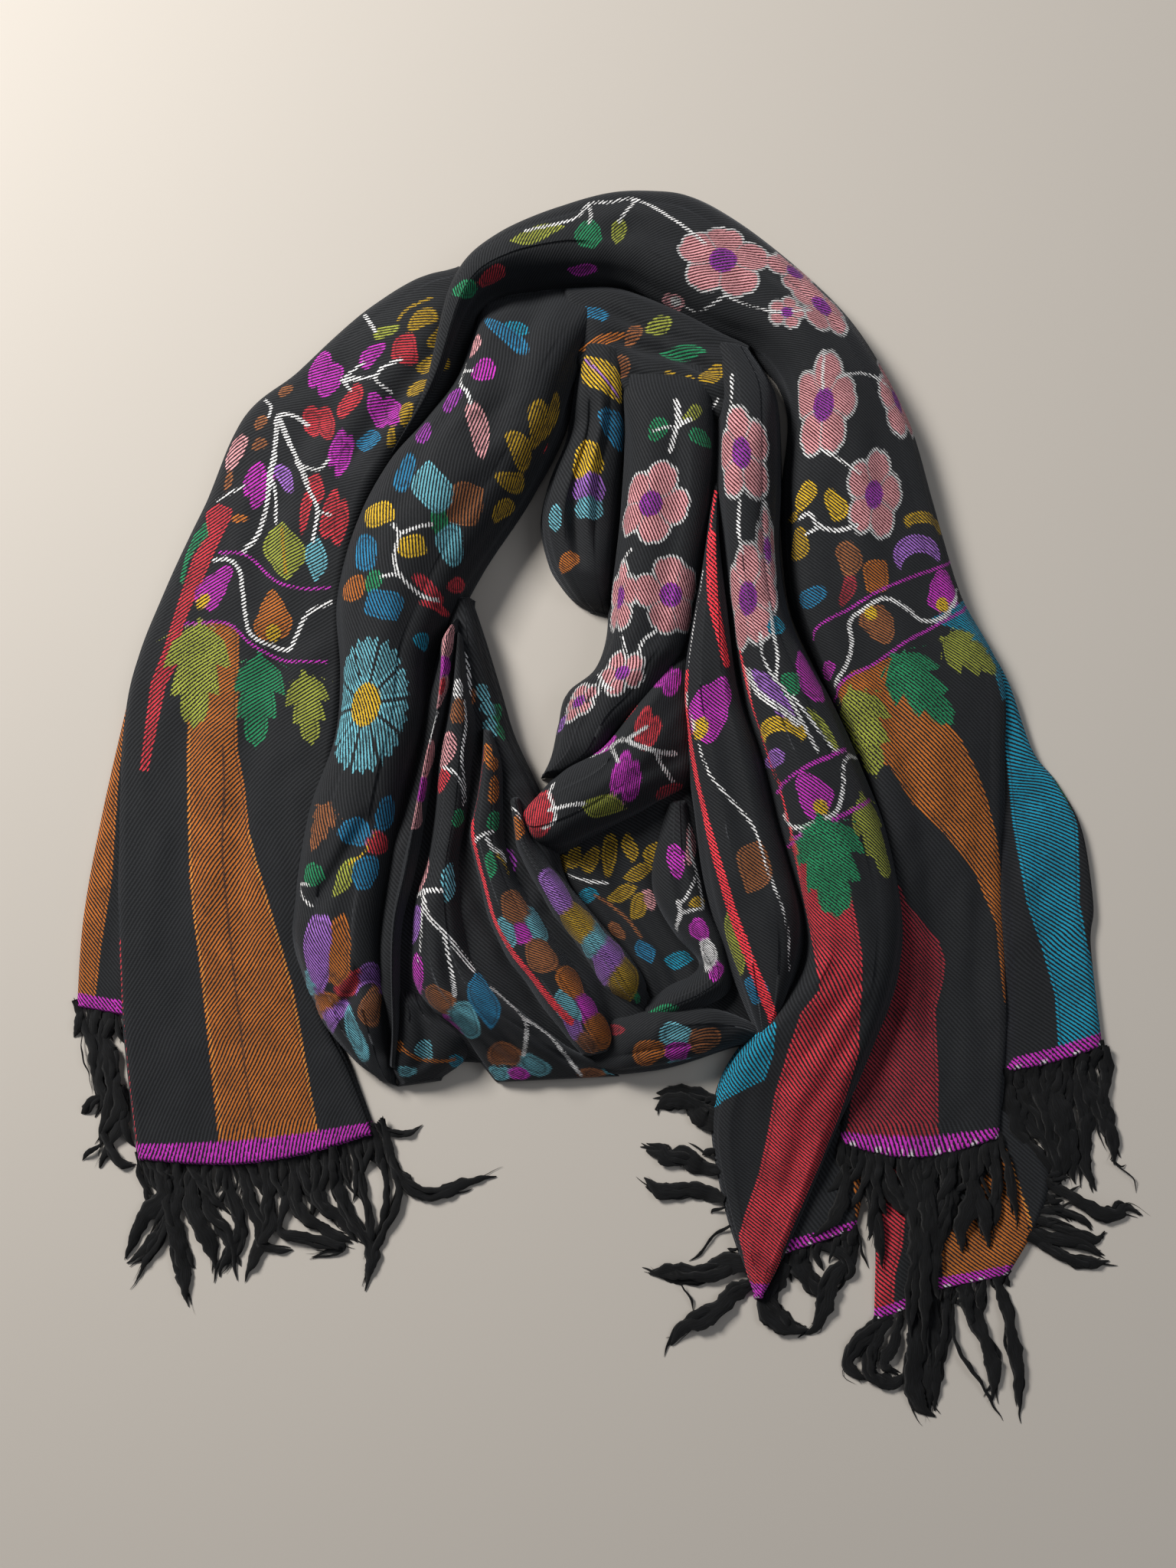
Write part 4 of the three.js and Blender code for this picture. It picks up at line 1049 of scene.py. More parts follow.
weave_motifs(
    front_folds,
    leaf=[
        (-50, 43, 9, 8, 60, CYAN), (-47, 35, 9, 9, 100, CYAN), (-46, 25, 11, 8, 80, CYAN),
        (-41, 34, 11, 6, 60, GREEN), (-40, 24, 10, 6, 110, GREEN),
    ],
    oval=[
        (-62, 57, 10, 7, 110, BROWN), (-58, 40, 12, 8, 90, BROWN), (-38, -40, 14, 9, 120, VIOLET),
        (-88, -134, 12, 7, 0, ORANGE),
    ],
)
weave_vines(front_folds, WHITE, [[1.8, (-64, 68), (-59, 60), (-57, 50), (-57, 40)]])
finish_stretch("front_folds", front_folds, twill_left)

EDGE_PLEAT_ROWS = [
    [-66, 77, -62, 78, 24, 26, 22],
    [-72, 67, -62, 67, 28, 33, 27],
    [-72, 51, -64, 48, 29, 34, 27],
    [-74, 31, -67, 30, 30, 35, 27],
    [-79, 10, -71, 9, 30, 35, 27],
    [-83, -12, -74, -12, 30, 36, 27],
    [-89, -43, -80, -46, 30, 36, 27],
    [-93, -69, -86, -70, 30, 35, 26],
    [-94, -94, -87, -94, 28, 33, 24],
    [-94, -119, -87, -119, 22, 27, 20],
    [-96, -136, -90, -138, 12, 15, 11],
]
edge_pleat = lay_stretch(EDGE_PLEAT_ROWS, [], layers=1, seed=35, ripple=0.6, rim=0.46, bias=-10)
weave_motifs(
    edge_pleat,
    petal=[
        (-66, 66, 18, 12, 80, PINK), (-68, 53, 12, 12, 80, MAGENTA), (-69, 41, 17, 11, 75, PINK, RED),
        (-75, 8, 19, 15, 75, PINK), (-78, -7, 12, 13, 80, MAGENTA), (-80, -19, 14, 14, 80, PINK),
    ],
)
weave_vines(edge_pleat, WHITE, [[1.6, (-70, 30), (-73, 22), (-74, 16)]])
finish_stretch("edge_pleat", edge_pleat, twill_left, node="front_folds")

CORNER_PLEAT_ROWS = [
    [-95, -96, -76, -98, 16, 18, 16],
    [-95, -106, -68, -112, 21, 25, 21],
    [-96, -124, -57, -124, 19, 22, 18],
    [-96, -137, -58, -134, 13, 16, 12],
    [-92, -146, -70, -143, 6, 7, 6],
]
corner_pleat = lay_stretch(
    CORNER_PLEAT_ROWS, [[0.6, 3.6, 0.6, 0.5, 0.4, 3, 4, 5]], layers=1, seed=36, ripple=0.6, rim=0.4
)
weave_motifs(
    corner_pleat,
    petal=[(-77, -130, 10, 8, 90, CYAN)],
    oval=[(-61, -135, 9, 6, 0, TEAL), (-87, -140, 10, 5, 0, CYAN), (-90, -128, 6, 5, 0, ORANGE)],
)
weave_vines(corner_pleat, ORANGE, [[1.4, (-88, -129), (-80, -134), (-68, -135), (-62, -134)]])
finish_stretch("corner_pleat", corner_pleat, twill_left, node="front_folds")

LEFT_PLEAT_ROWS = [
    [-64, 73, -59, 66, 24, 27, 22],
    [-66, 49, -56, 45, 28, 33, 26],
    [-69, 32, -52, 27, 29, 34, 27],
    [-73, 10, -52, 9, 30, 35, 28],
    [-75, -14, -54, -18, 30, 36, 28],
    [-78, -39, -58, -40, 30, 36, 28],
    [-85, -59, -55, -61, 30, 37, 28],
    [-87, -82, -49, -84, 29, 36, 28],
    [-86, -98, -40, -97, 27, 35, 27],
    [-78, -110, -31, -107, 25, 33, 25],
    [-68, -118, -18, -118, 21, 29, 21],
    [-61, -125, -6, -128, 15, 23, 17],
    [-54, -134, 6, -135, 10, 15, 11],
    [-46, -144, 14, -141, 6, 7, 6],
]
LEFT_PLEAT_CREASES = [
    [6, 12.6, 0.6, 0.5, 0.42, 5, 4, 6],
    [3, 8, 0.32, 0.3, 0.26, 3, 3, 5],
    [8.5, 12.8, 0.8, 0.76, 0.74, 4, 4, 5],
    [9, 12.8, 0.22, 0.24, 0.22, 3, 4, 5],
]
left_pleat = lay_stretch(LEFT_PLEAT_ROWS, LEFT_PLEAT_CREASES, layers=2, seed=38, ripple=0.8, rim=0.36)
weave_motifs(
    left_pleat,
    oval=[
        (-61, 42, 9, 6, 90, WHITE), (-61, 31, 12, 9, 80, BROWN), (-83, -70, 18, 10, 75, PURPLE),
        (-82, -94, 20, 10, 80, MAGENTA), (-33, -141, 11, 6, 0, MAGENTA), (2, -141, 13, 5, 0, BROWN),
        (13, -139, 10, 5, 0, CYAN),
    ],
    petal=[
        (-67, 12, 18, 10, 75, PINK), (-69, -2, 12, 8, 70, RED), (-59, -21, 9, 7, 40, GREEN),
        (-80, -47, 16, 7, 80, PINK), (-69, -106, 17, 12, -10, BROWN), (-57, -116, 18, 14, -40, CYAN),
        (-66, -118, 12, 8, -45, MAGENTA), (-39, -132, 17, 11, 0, BROWN), (-25, -137, 16, 9, -15, CYAN),
        (-43, -141, 12, 7, 0, CYAN),
    ],
    leaf=[(-63, -51, 20, 9, 80, CYAN), (-47, -106, 28, 14, 100, BLUE)],
)
weave_vines(left_pleat, WHITE, [
    [1.6, (-57, 36), (-56, 24), (-58, 10), (-56, -2), (-54, -12)],
    [1.5, (-68, 4), (-63, 2), (-58, -4), (-56, -14)], [2.2, (-84, -57), (-77, -55), (-67, -55)],
    [2.6, (-77, -55), (-74, -66), (-64, -77), (-58, -84), (-51, -92)],
    [1.7, (-66, -76), (-63, -91), (-61, -104)], [1.5, (-77, -58), (-78, -77), (-80, -88)],
    [1.9, (-42, -100), (-34, -106), (-28, -114), (-28, -124), (-30, -132)],
    [1.5, (-28, -114), (-17, -122), (-10, -132), (-3, -142)],
])
finish_stretch("left_pleat", left_pleat, twill_left, node="front_folds")

INNER_PLEAT_ROWS = [
    [-39, -13, -29, -10, 24, 28, 22],
    [-37, -26, -25, -25, 26, 31, 24],
    [-36, -34, -21, -33, 26, 32, 25],
    [-30, -46, -12, -46, 26, 33, 26],
    [-18, -66, 2, -62, 26, 33, 26],
    [-9, -77, 12, -74, 25, 32, 25],
    [-1, -89, 23, -87, 24, 31, 25],
    [7, -101, 29, -98, 22, 28, 24],
    [19, -109, 28, -105, 17, 20, 17],
]
inner_pleat = lay_stretch(
    INNER_PLEAT_ROWS, [[3, 8, 0.7, 0.66, 0.6, 2, 4, 4]], layers=1, seed=39, ripple=0.6, rim=0.44, bias=6
)
weave_motifs(
    inner_pleat,
    oval=[(-32, -25, 12, 9, 70, ORANGE), (27, -107, 10, 6, -60, GREEN)],
    petal=[
        (-12, -56, 25, 16, 118, PURPLE), (-3, -70, 20, 22, 128, GOLD), (5, -78, 13, 22, 130, CYAN),
        (11, -87, 15, 30, 135, PURPLE), (18, -98, 16, 30, 140, GOLD),
    ],
)
weave_vines(inner_pleat, WHITE, [[1.3, (-38, -16), (-34, -16), (-30, -20)]])
finish_stretch("inner_pleat", inner_pleat, twill_left, node="front_folds")

SELVEDGE_PLEAT_ROWS = [
    [-52, 24, -43, 20, 22, 26, 22],
    [-52, 9, -39, 7, 28, 32, 25],
    [-54, -9, -38, -10, 31, 35, 27],
    [-58, -26, -36, -30, 32, 36, 28],
    [-56, -38, -33, -40, 33, 36, 28],
    [-53, -50, -28, -52, 34, 37, 29],
    [-49, -69, -16, -69, 34, 38, 30],
    [-41, -86, -6, -84, 34, 38, 30],
    [-31, -98, 1, -96, 32, 37, 29],
    [-21, -112, 9, -110, 27, 33, 26],
    [-11, -124, 14, -122, 20, 26, 20],
    [-4, -132, 14, -128, 14, 17, 14],
]
SELVEDGE_PLEAT_CREASES = [
    [5, 11, 0.34, 0.36, 0.3, 2.4, 5, 8],
    [4, 10, 0.74, 0.74, 0.7, 2.4, 7, 4],
]
selvedge_pleat = lay_stretch(
    SELVEDGE_PLEAT_ROWS, SELVEDGE_PLEAT_CREASES, layers=1, seed=40, ripple=0.6, rim=0.36, bias=12
)
weave_motifs(
    selvedge_pleat,
    petal=[
        (-48, 11, 9, 6, 60, ORANGE), (-43, 6, 8, 7, -10, ORANGE), (-42, -7, 13, 7, 80, ORANGE),
        (-32, -63, 17, 14, 130, BROWN), (-37, -75, 15, 11, 110, CYAN), (-21, -71, 17, 13, 105, CYAN),
        (-29, -74, 12, 9, 110, MAGENTA), (-20, -85, 18, 14, 130, BROWN), (-5, -98, 17, 16, 120, ORANGE),
        (-8, -109, 17, 12, 110, CYAN), (2, -109, 16, 12, 120, MAGENTA), (8, -119, 18, 15, 130, ORANGE),
        (-6, -119, 12, 9, 125, PURPLE), (0, -126, 14, 8, 150, BROWN),
    ],
    leaf=[(-42, -22, 11, 8, 40, GREEN), (-44, -43, 14, 5, 90, GREEN)],
)
weave_vines(selvedge_pleat, SCARLET, [
    [4.2, (-56, -22), (-53, -38), (-49, -54), (-45, -69), (-37, -82), (-27, -94), (-17, -106), (-7, -116)],
])
weave_vines(selvedge_pleat, DARK_RED, [[2.0, (-51, 14), (-53, 0), (-56, -22)]])
weave_vines(selvedge_pleat, WHITE, [
    [1.7, (-53, -32), (-48, -29), (-43, -27)], [1.9, (-46, -31), (-42, -36), (-38, -37), (-35, -41)],
])
weave_vines(selvedge_pleat, GOLD, [[1.4, (-41, -38), (-36, -43), (-34, -48)]])
finish_stretch("selvedge_pleat", selvedge_pleat, twill_left, node="front_folds")

# Smooth fold: the dark rounded fold that crosses from the right ribbon to the neck opening, two
# layers of the panel drawn smooth, with small flowers on thin white vines.
SMOOTH_FOLD_ROWS = [
    [54, 72, 60, -2, 13, 15, 12],
    [43, 62, 47, -8, 23, 26, 20],
    [28, 44, 27, -18, 30, 35, 27],
    [9, 19, 4, -29, 31, 36, 27],
    [-10, 8, -13, -37, 30, 35, 27],
    [-24, -6, -24, -34, 26, 30, 26],
    [-31, -15, -29, -25, 24, 25, 24],
]
SMOOTH_FOLD_CREASES = [
    [1, 5, 0.4, 0.36, 0.4, 2, 10, 9],
    [0.5, 4, 0.75, 0.7, 0.66, 1.6, 6, 5],
]
smooth_fold = lay_stretch(SMOOTH_FOLD_ROWS, SMOOTH_FOLD_CREASES, layers=2, seed=37, ripple=0.4, bias=35)
weave_motifs(
    smooth_fold,
    lobed=[
        (7, 23, 16, 17, 60, MAGENTA), (20, -2, 21, 14, 70, MAGENTA), (40, 48, 15, 13, 60, MAGENTA),
        (30, 22, 18, 12, 65, RED), (-24, -16, 26, 19, 70, RED),
    ],
    oval=[(22, 40, 16, 8, 60, RED), (40, -10, 15, 9, 40, DARK_RED)],
    leaf=[(9, -16, 22, 12, -12, OLIVE)],
)
weave_vines(smooth_fold, WHITE, [
    [2.2, (4, 13), (7, 14), (18, 17), (24, 14), (35, 11), (43, 11)], [1.5, (18, 16), (24, 19), (30, 23)],
    [1.5, (13, 13), (16, 6)], [1.7, (34, 10), (38, 3), (42, -3)], [1.6, (-17, -17), (-8, -15), (0, -14)],
    [1.6, (-15, -2), (-17, -9), (-15, -14), (-14, -22), (-20, -26)],
])
finish_stretch("smooth_fold", smooth_fold, twill_left)

# Border band: the folded long edge of the panel beside the centre tail, three layers with the red
# selvedge and a thin white line along it, down to the front.
BORDER_BAND_ROWS = [
    [62, 146, 67, 146, 20, 21, 20],
    [58, 118, 67, 118, 28, 30, 28],
    [52, 88, 71, 86, 30, 33, 30],
    [46, 58, 75, 54, 31, 34, 31],
    [44, 36, 79, 36, 31, 35, 31],
    [46, 12, 87, 12, 30, 35, 31],
    [50, -15, 94, -18, 30, 34, 30],
    [54, -46, 102, -46, 30, 34, 28],
    [61, -75, 106, -74, 28, 33, 26],
    [71, -102, 99, -102, 23, 28, 24],
    [82, -126, 88, -126, 12, 15, 13],
]
BORDER_BAND_CREASES = [
    [3, 8, 0.55, 0.5, 0.62, 2.5, 7, 6],
    [7, 10, 0.3, 0.4, 0.5, 3, 6, 6],
    [4, 9, 0.22, 0.2, 0.26, 1.6, 5, 4],
]
border_band = lay_stretch(BORDER_BAND_ROWS, BORDER_BAND_CREASES, layers=3, seed=41, bias=6)
weave_motifs(
    border_band,
    bud=[(60, 32, 32, 24, 62, MAGENTA)],
    leaf=[(80, -44, 26, 17, 75, BROWN), (69, -80, 32, 10, 100, OLIVE), (80, -101, 15, 12, 80, BLUE)],
)
weave_vines(border_band, SCARLET, [
    [5.0, (45, 50), (44, 29), (48, 4), (54, -18), (62, -44), (70, -69), (79, -92), (89, -116)],
    [1.7, (64, 142), (61, 123), (61, 109)], [5.6, (61, 118), (61, 109), (62, 85), (66, 66), (69, 54)],
])
weave_vines(border_band, WHITE, [
    [
        1.2, (55, 100), (51, 80), (47, 59), (46, 41), (52, 18), (59, 0), (68, -11), (80, -26), (87, -48),
        (95, -70), (97, -92),
    ],
])
finish_stretch("border_band", border_band, twill_left)

# Left turn: the smooth broad ribbon that comes from under the arch and goes down the left of the
# neck opening, three layers of the panel. The blue daisy is the largest of its flowers.
LEFT_TURN_ROWS = [
    [-56, 250, 14, 258, 7, 9, 7],
    [-60, 230, 5, 228, 22, 28, 22],
    [-69, 204, -5, 200, 30, 36, 28],
    [-84, 184, -13, 174, 30, 37, 28],
    [-104, 160, -28, 146, 30, 38, 26],
    [-120, 126, -48, 115, 28, 38, 24],
    [-127, 90, -62, 88, 27, 38, 24],
    [-124, 52, -73, 60, 26, 38, 26],
    [-126, 24, -75, 28, 26, 38, 28],
    [-137, -10, -83, -8, 26, 37, 28],
    [-143, -45, -90, -46, 25, 36, 28],
    [-145, -74, -94, -78, 22, 34, 28],
    [-139, -96, -93, -102, 17, 30, 26],
    [-130, -116, -92, -122, 12, 24, 22],
    [-115, -134, -92, -138, 8, 15, 15],
    [-103, -143, -93, -146, 5, 7, 7],
]
LEFT_TURN_CREASES = [
    [0, 4, 0.45, 0.5, 0.62, 4, 12, 8],
    [3, 8, 0.8, 0.74, 0.7, 2.5, 9, 7],
    [9, 14, 0.66, 0.58, 0.52, 3, 9, 7],
    [1, 5, 0.2, 0.24, 0.3, 1.8, 8, 7],
    [7, 11, 0.3, 0.28, 0.34, 1.4, 10, 8],
    [10, 14.6, 0.34, 0.36, 0.42, 2.4, 5, 7],
    [11, 14.8, 0.8, 0.78, 0.7, 2.6, 5, 6],
    [9.0, 11.4, 0.75, 0.4, 0.02, 2.6, 4, 6],
    [10.8, 12.8, 1.0, 0.72, 0.35, 3.6, 3.5, 5],
    [12, 14.2, 0.15, 0.5, 0.9, 2.6, 4, 6],
]
left_turn = lay_stretch(LEFT_TURN_ROWS, LEFT_TURN_CREASES, layers=3, seed=45, bias=-24)
weave_motifs(
    left_turn,
    daisy=[(-105, 34, 70, 50, 80, CYAN)],
    petal=[
        (-40, 224, 31, 8, -45, BLUE), (-52, 171, 28, 9, -80, PINK), (-88, 150, 20, 9, 80, BLUE),
        (-65, 114, 20, 13, 95, CYAN), (-107, 110, 19, 12, -75, BLUE), (-75, 92, 18, 6, -35, RED),
        (-70, 84, 18, 4, -10, RED), (-22, 175, 23, 10, 85, GOLD), (-12, 181, 23, 8, 78, GOLD),
        (-31, 162, 20, 11, 130, GOLD), (-34, 147, 19, 9, 172, GOLD), (-36, 134, 17, 9, 205, GOLD),
        (-127, -108, 19, 10, 20, ORANGE), (-111, -98, 18, 8, 35, RED), (-101, -109, 19, 11, 80, BROWN),
        (-121, -113, 19, 9, 42, PURPLE), (-111, -121, 28, 7, -74, CYAN),
    ],
    oval=[
        (-34, 228, 12, 7, -30, TEAL), (-57, 219, 13, 7, 75, PINK), (-50, 203, 13, 12, 60, MAGENTA),
        (-66, 188, 14, 8, 60, VIOLET), (-80, 171, 12, 8, 80, VIOLET), (-71, 125, 11, 8, 80, GREEN),
        (-113, 92, 15, 12, 30, ORANGE), (-102, 95, 11, 8, 60, GREEN), (-59, 96, 13, 7, 10, RED),
        (-77, 67, 10, 8, 0, TEAL), (-130, -47, 12, 11, 0, GREEN), (-98, -32, 12, 11, 0, RED),
        (-94, -18, 17, 10, 70, BLUE), (-109, -27, 15, 13, 0, BLUE), (-104, -46, 17, 13, 60, BLUE),
        (-127, -84, 38, 17, 84, PURPLE), (-117, -84, 34, 13, 86, ORANGE), (-136, -98, 13, 11, 0, CYAN),
    ],
    leaf=[
        (-74, 141, 28, 19, 100, CYAN), (-58, 134, 24, 18, 45, BROWN), (-101, 129, 19, 14, -20, YELLOW),
        (-84, 112, 16, 12, -20, YELLOW), (-97, 83, 20, 17, -50, BLUE), (-114, -48, 22, 8, 60, OLIVE),
    ],
    toothed=[(-127, -24, 24, 17, -112, BROWN)],
    crescent=[(-101, -99, 17, 21, -10, PURPLE)],
)
weave_vines(left_turn, WHITE, [
    [1.8, (-63, 210), (-63, 203), (-62, 196), (-58, 191), (-56, 185)], [1.5, (-63, 205), (-56, 203)],
    [1.9, (-93, 123), (-90, 118), (-91, 113), (-92, 106), (-90, 99), (-85, 93), (-78, 88), (-70, 87)],
    [1.6, (-90, 118), (-82, 121), (-74, 123)], [1.6, (-90, 98), (-98, 97)],
    [1.3, (-141, -51), (-136, -51), (-132, -52)], [1.3, (-140, -52), (-137, -57), (-131, -62)],
])
weave_vines(left_turn, RED, [[1.2, (-20, 157), (-16, 162), (-9, 169)]])
weave_vines(left_turn, YELLOW, [[1.1, (-100, -26), (-104, -36), (-112, -42)]])
finish_stretch("left_turn", left_turn, twill_left)

# Centre tail: the upper fold from the back of the neck down to its pointed tip, three layers of the
# panel with the red selvedge along its left side, pink flowers, the border and the red stripe.
CENTRE_TAIL_ROWS = [
    [62, 222, 86, 217, 16, 18, 14],
    [65, 197, 96, 196, 25, 29, 20],
    [64, 175, 98, 175, 30, 36, 24],
    [63, 145, 98, 145, 32, 38, 24],
    [65, 110, 97, 110, 32, 38, 24],
    [68, 76, 103, 74, 32, 38, 26],
    [74, 35, 121, 38, 32, 38, 27],
    [83, 5, 134, 8, 32, 38, 28],
    [91, -28, 146, -25, 32, 37, 28],
    [99, -60, 153, -63, 30, 35, 26],
    [100, -85, 151, -88, 26, 32, 24],
    [88, -108, 146, -108, 22, 28, 22],
    [66, -138, 133, -138, 16, 22, 20],
    [59, -165, 120, -165, 12, 16, 16],
    [64, -200, 106, -197, 9, 12, 12],
    [71, -225, 93, -226, 8, 10, 9],
    [78, -243, 83, -243, 7, 8, 7],
]
CENTRE_TAIL_CREASES = [
    [10, 15, 0.62, 0.42, 0.5, 4, 12, 7],
    [8.4, 11, 0.3, 0.36, 0.42, 3, 8, 9],
    [3, 8, 0.5, 0.45, 0.6, 2, 7, 7],
    [2, 7, 0.78, 0.76, 0.7, 2.6, 4, 6],
    [6, 10.5, 0.7, 0.66, 0.74, 1.8, 6, 6],
    [10.5, 14.5, 0.78, 0.72, 0.66, 1.8, 6, 5],
    [11, 15.4, 0.24, 0.22, 0.3, 1.6, 7, 6],
    [12.4, 15.8, 0.9, 0.66, 0.4, 1.5, 5, 8],
]
centre_tail = lay_stretch(CENTRE_TAIL_ROWS, CENTRE_TAIL_CREASES, layers=3, seed=49, ripple=0.5)
weave_band(centre_tail, RED, [
    [-30, 90, 112], [-57, 97, 124], [-84, 106, 129], [-101, 110, 129], [-112, 101, 128], [-130, 95, 128],
    [-150, 89, 123], [-171, 85, 117], [-188, 81, 108], [-216, 71, 95], [-246, 74, 88],
])
weave_patch(centre_tail, TEAL, [(54, -134), (89, -116), (88, -131), (84, -143), (54, -158)])
weave_motifs(
    centre_tail,
    flower=[(76, 156, 54, 32, 95, PINK), (78, 84, 54, 32, 88, PINK), (89, 109, 44, 14, 92, PINK)],
    petal=[(89, 37, 32, 9, 130, PURPLE), (114, 20, 24, 5, 125, OLIVE)],
    leaf=[(98, 42, 13, 10, 60, GREEN)],
    crescent=[(92, 19, 26, 15, 0, YELLOW)],
    oval=[(86, 7, 16, 8, 10, PURPLE), (109, 46, 26, 14, 110, MAGENTA), (90, 71, 13, 10, 0, TEAL)],
    bud=[(107, -10, 22, 19, 118, MAGENTA)],
    toothed=[(114, -44, 48, 40, -80, GREEN, None, "detail"), (138, -30, 42, 24, -72, OLIVE)],
)
weave_vines(centre_tail, WHITE, [
    [1.8, (72, 200), (71, 188), (70, 178)], [1.6, (75, 132), (74, 118), (76, 106)],
    [1.5, (84, 67), (85, 55), (91, 44), (94, 41)], [1.5, (89, 82), (90, 69), (92, 56), (91, 44)],
    [1.5, (94, 41), (99, 32), (104, 22), (110, 10)], [1.4, (99, 36), (108, 24), (119, 10)],
    [3.4, (76, 50), (79, 42), (84, 36), (94, 29), (101, 23)],
    [2.0, (88, -20), (94, -25), (102, -26), (110, -23), (118, -19), (122, -7), (123, 4), (129, 9), (137, 9)],
])
weave_vines(centre_tail, MAGENTA, [
    [1.9, (84, -9), (92, -5), (106, 3), (126, 12)],
    [1.9, (88, -34), (97, -31), (110, -26), (124, -19), (140, -11)],
])
weave_vines(centre_tail, SCARLET, [[2.5, (70, 60), (75, 35), (80, 14), (87, -6), (92, -26), (96, -48)]])
hem_band(centre_tail, 5.5)
finish_stretch("centre_tail", centre_tail, twill_left)

# Fringes: at every hem the warp ends hang free as matted black wool, in flat locks that taper to a
# point, cling to their neighbours and lie over one another on the floor.
PATH_POINTS = 80  # points along a lock's smooth route before it is cut into rings
RING_STEP, STRAND_STEP = 1.5, 2.4  # distance between the rings of a lock and of a thin strand, mm
RING_POINTS, STRAND_POINTS = 9, 6  # points round a ring of each, the last one on the first
ROOT_RUN = 9  # mm over which a lock comes down from its hem
STRAND_SHARES = (0.5, 0.38, 0.28, 0.16, 0.06)  # widths of the loose strands beside a lock


def hem_points(rows, bow, edge, shares):
    """Points of the plan along a hem or a side, and the direction that leads off the cloth."""
    last = len(rows) - 1
    if edge == "end":
        ends = np.array(rows[-1], float)
        before = np.array(rows[-2], float)
        ahead = ends[0:2] + ends[2:4] - before[0:2] - before[2:4]
        ahead /= np.hypot(*ahead)
        roots = ends[0:2] + (ends[2:4] - ends[0:2]) * shares[:, None]
        return roots + ahead * (bow * np.sin(math.pi * shares))[:, None], np.tile(ahead, (len(shares), 1))
    numbers = read_rows(rows, np.clip(shares, 0, last))
    left, right = numbers[:, 0:2], numbers[:, 2:4]
    off = (left - right) if edge == "left" else (right - left)
    return (left if edge == "left" else right), off / np.hypot(*off.T)[:, None]


def wool_lock(route, half, floor_height, start_height, rng):
    """One lock: a flat felted tube along a smooth route, uneven in width and thin at its tip."""
    knots = np.concatenate([route, np.zeros((len(route), 5))], axis=1)
    path = read_rows(knots, np.linspace(0, len(route) - 1, PATH_POINTS))[:, 0:2]
    walked = np.concatenate([[0], np.cumsum(np.hypot(*np.diff(path, axis=0).T))])
    length = walked[-1]
    share = np.linspace(0, 1, int(length / (RING_STEP if half > 1 else STRAND_STEP)) + 7)
    line = np.stack([np.interp(share * length, walked, path[:, k]) for k in (0, 1)], axis=1)
    run = np.gradient(line, axis=0)
    run /= np.hypot(*run.T)[:, None] + 1e-9
    side = np.stack([-run[:, 1], run[:, 0]], axis=1)
    gone = share * length
    turn = rng.uniform(0, 2 * math.pi, 8)
    sway = 0.5 * np.sin(gone / rng.uniform(4, 7) + turn[0])
    sway += 0.25 * np.sin(gone / rng.uniform(1.4, 2.4) + turn[1])
    line = line + side * (sway * np.minimum(share * 4, 1))[:, None]
    girth = half * (0.6 + 0.5 * np.sin(math.pi * np.clip(share * 0.85 + 0.06, 0, 1)) ** 0.8)
    girth *= 1 + 0.16 * np.sin(gone / rng.uniform(3, 5) + turn[2]) + 0.1 * np.sin(gone / 1.3 + turn[3])
    girth *= 1 + rng.uniform(-0.07, 0.07, len(share))
    girth *= np.clip((1.015 - share) / 0.24, 0, 1) ** 0.8
    thick = np.minimum(girth * 0.5, 1.0) * (1 + 0.2 * np.sin(gone / 3.1 + turn[4]))
    lie = floor_height + rng.uniform(0.1, 2.2) * np.sin(math.pi * share) ** 2
    lie = np.maximum(lie, start_height * (1 - gone / ROOT_RUN))
    angle = np.linspace(0, 2 * math.pi, RING_POINTS if half > 1 else STRAND_POINTS)[None, :]
    strands = 1 + 0.13 * np.sin(3 * angle + turn[5] + gone[:, None] / 6) * np.cos(angle / 2 + turn[6])
    flat = np.cos(angle) * girth[:, None] * strands
    tall = np.sin(angle) * thick[:, None] * strands
    lean = 0.45 * np.sin(gone / rng.uniform(7, 13) + turn[7])[:, None]
    raised = (thick + lie)[:, None] + tall + flat * np.sin(lean) * 0.5
    plan = line[:, None, :] + side[:, None, :] * (flat * np.cos(lean))[:, :, None]
    points = np.concatenate([plan - ORIGIN, np.maximum(raised, 0.05)[:, :, None]], axis=2) / 1000
    uv = np.stack(np.broadcast_arrays(gone[:, None] / 10, angle * (0.4 + half / 4) + turn[0]), axis=2)
    return points, uv.reshape(-1, 2)


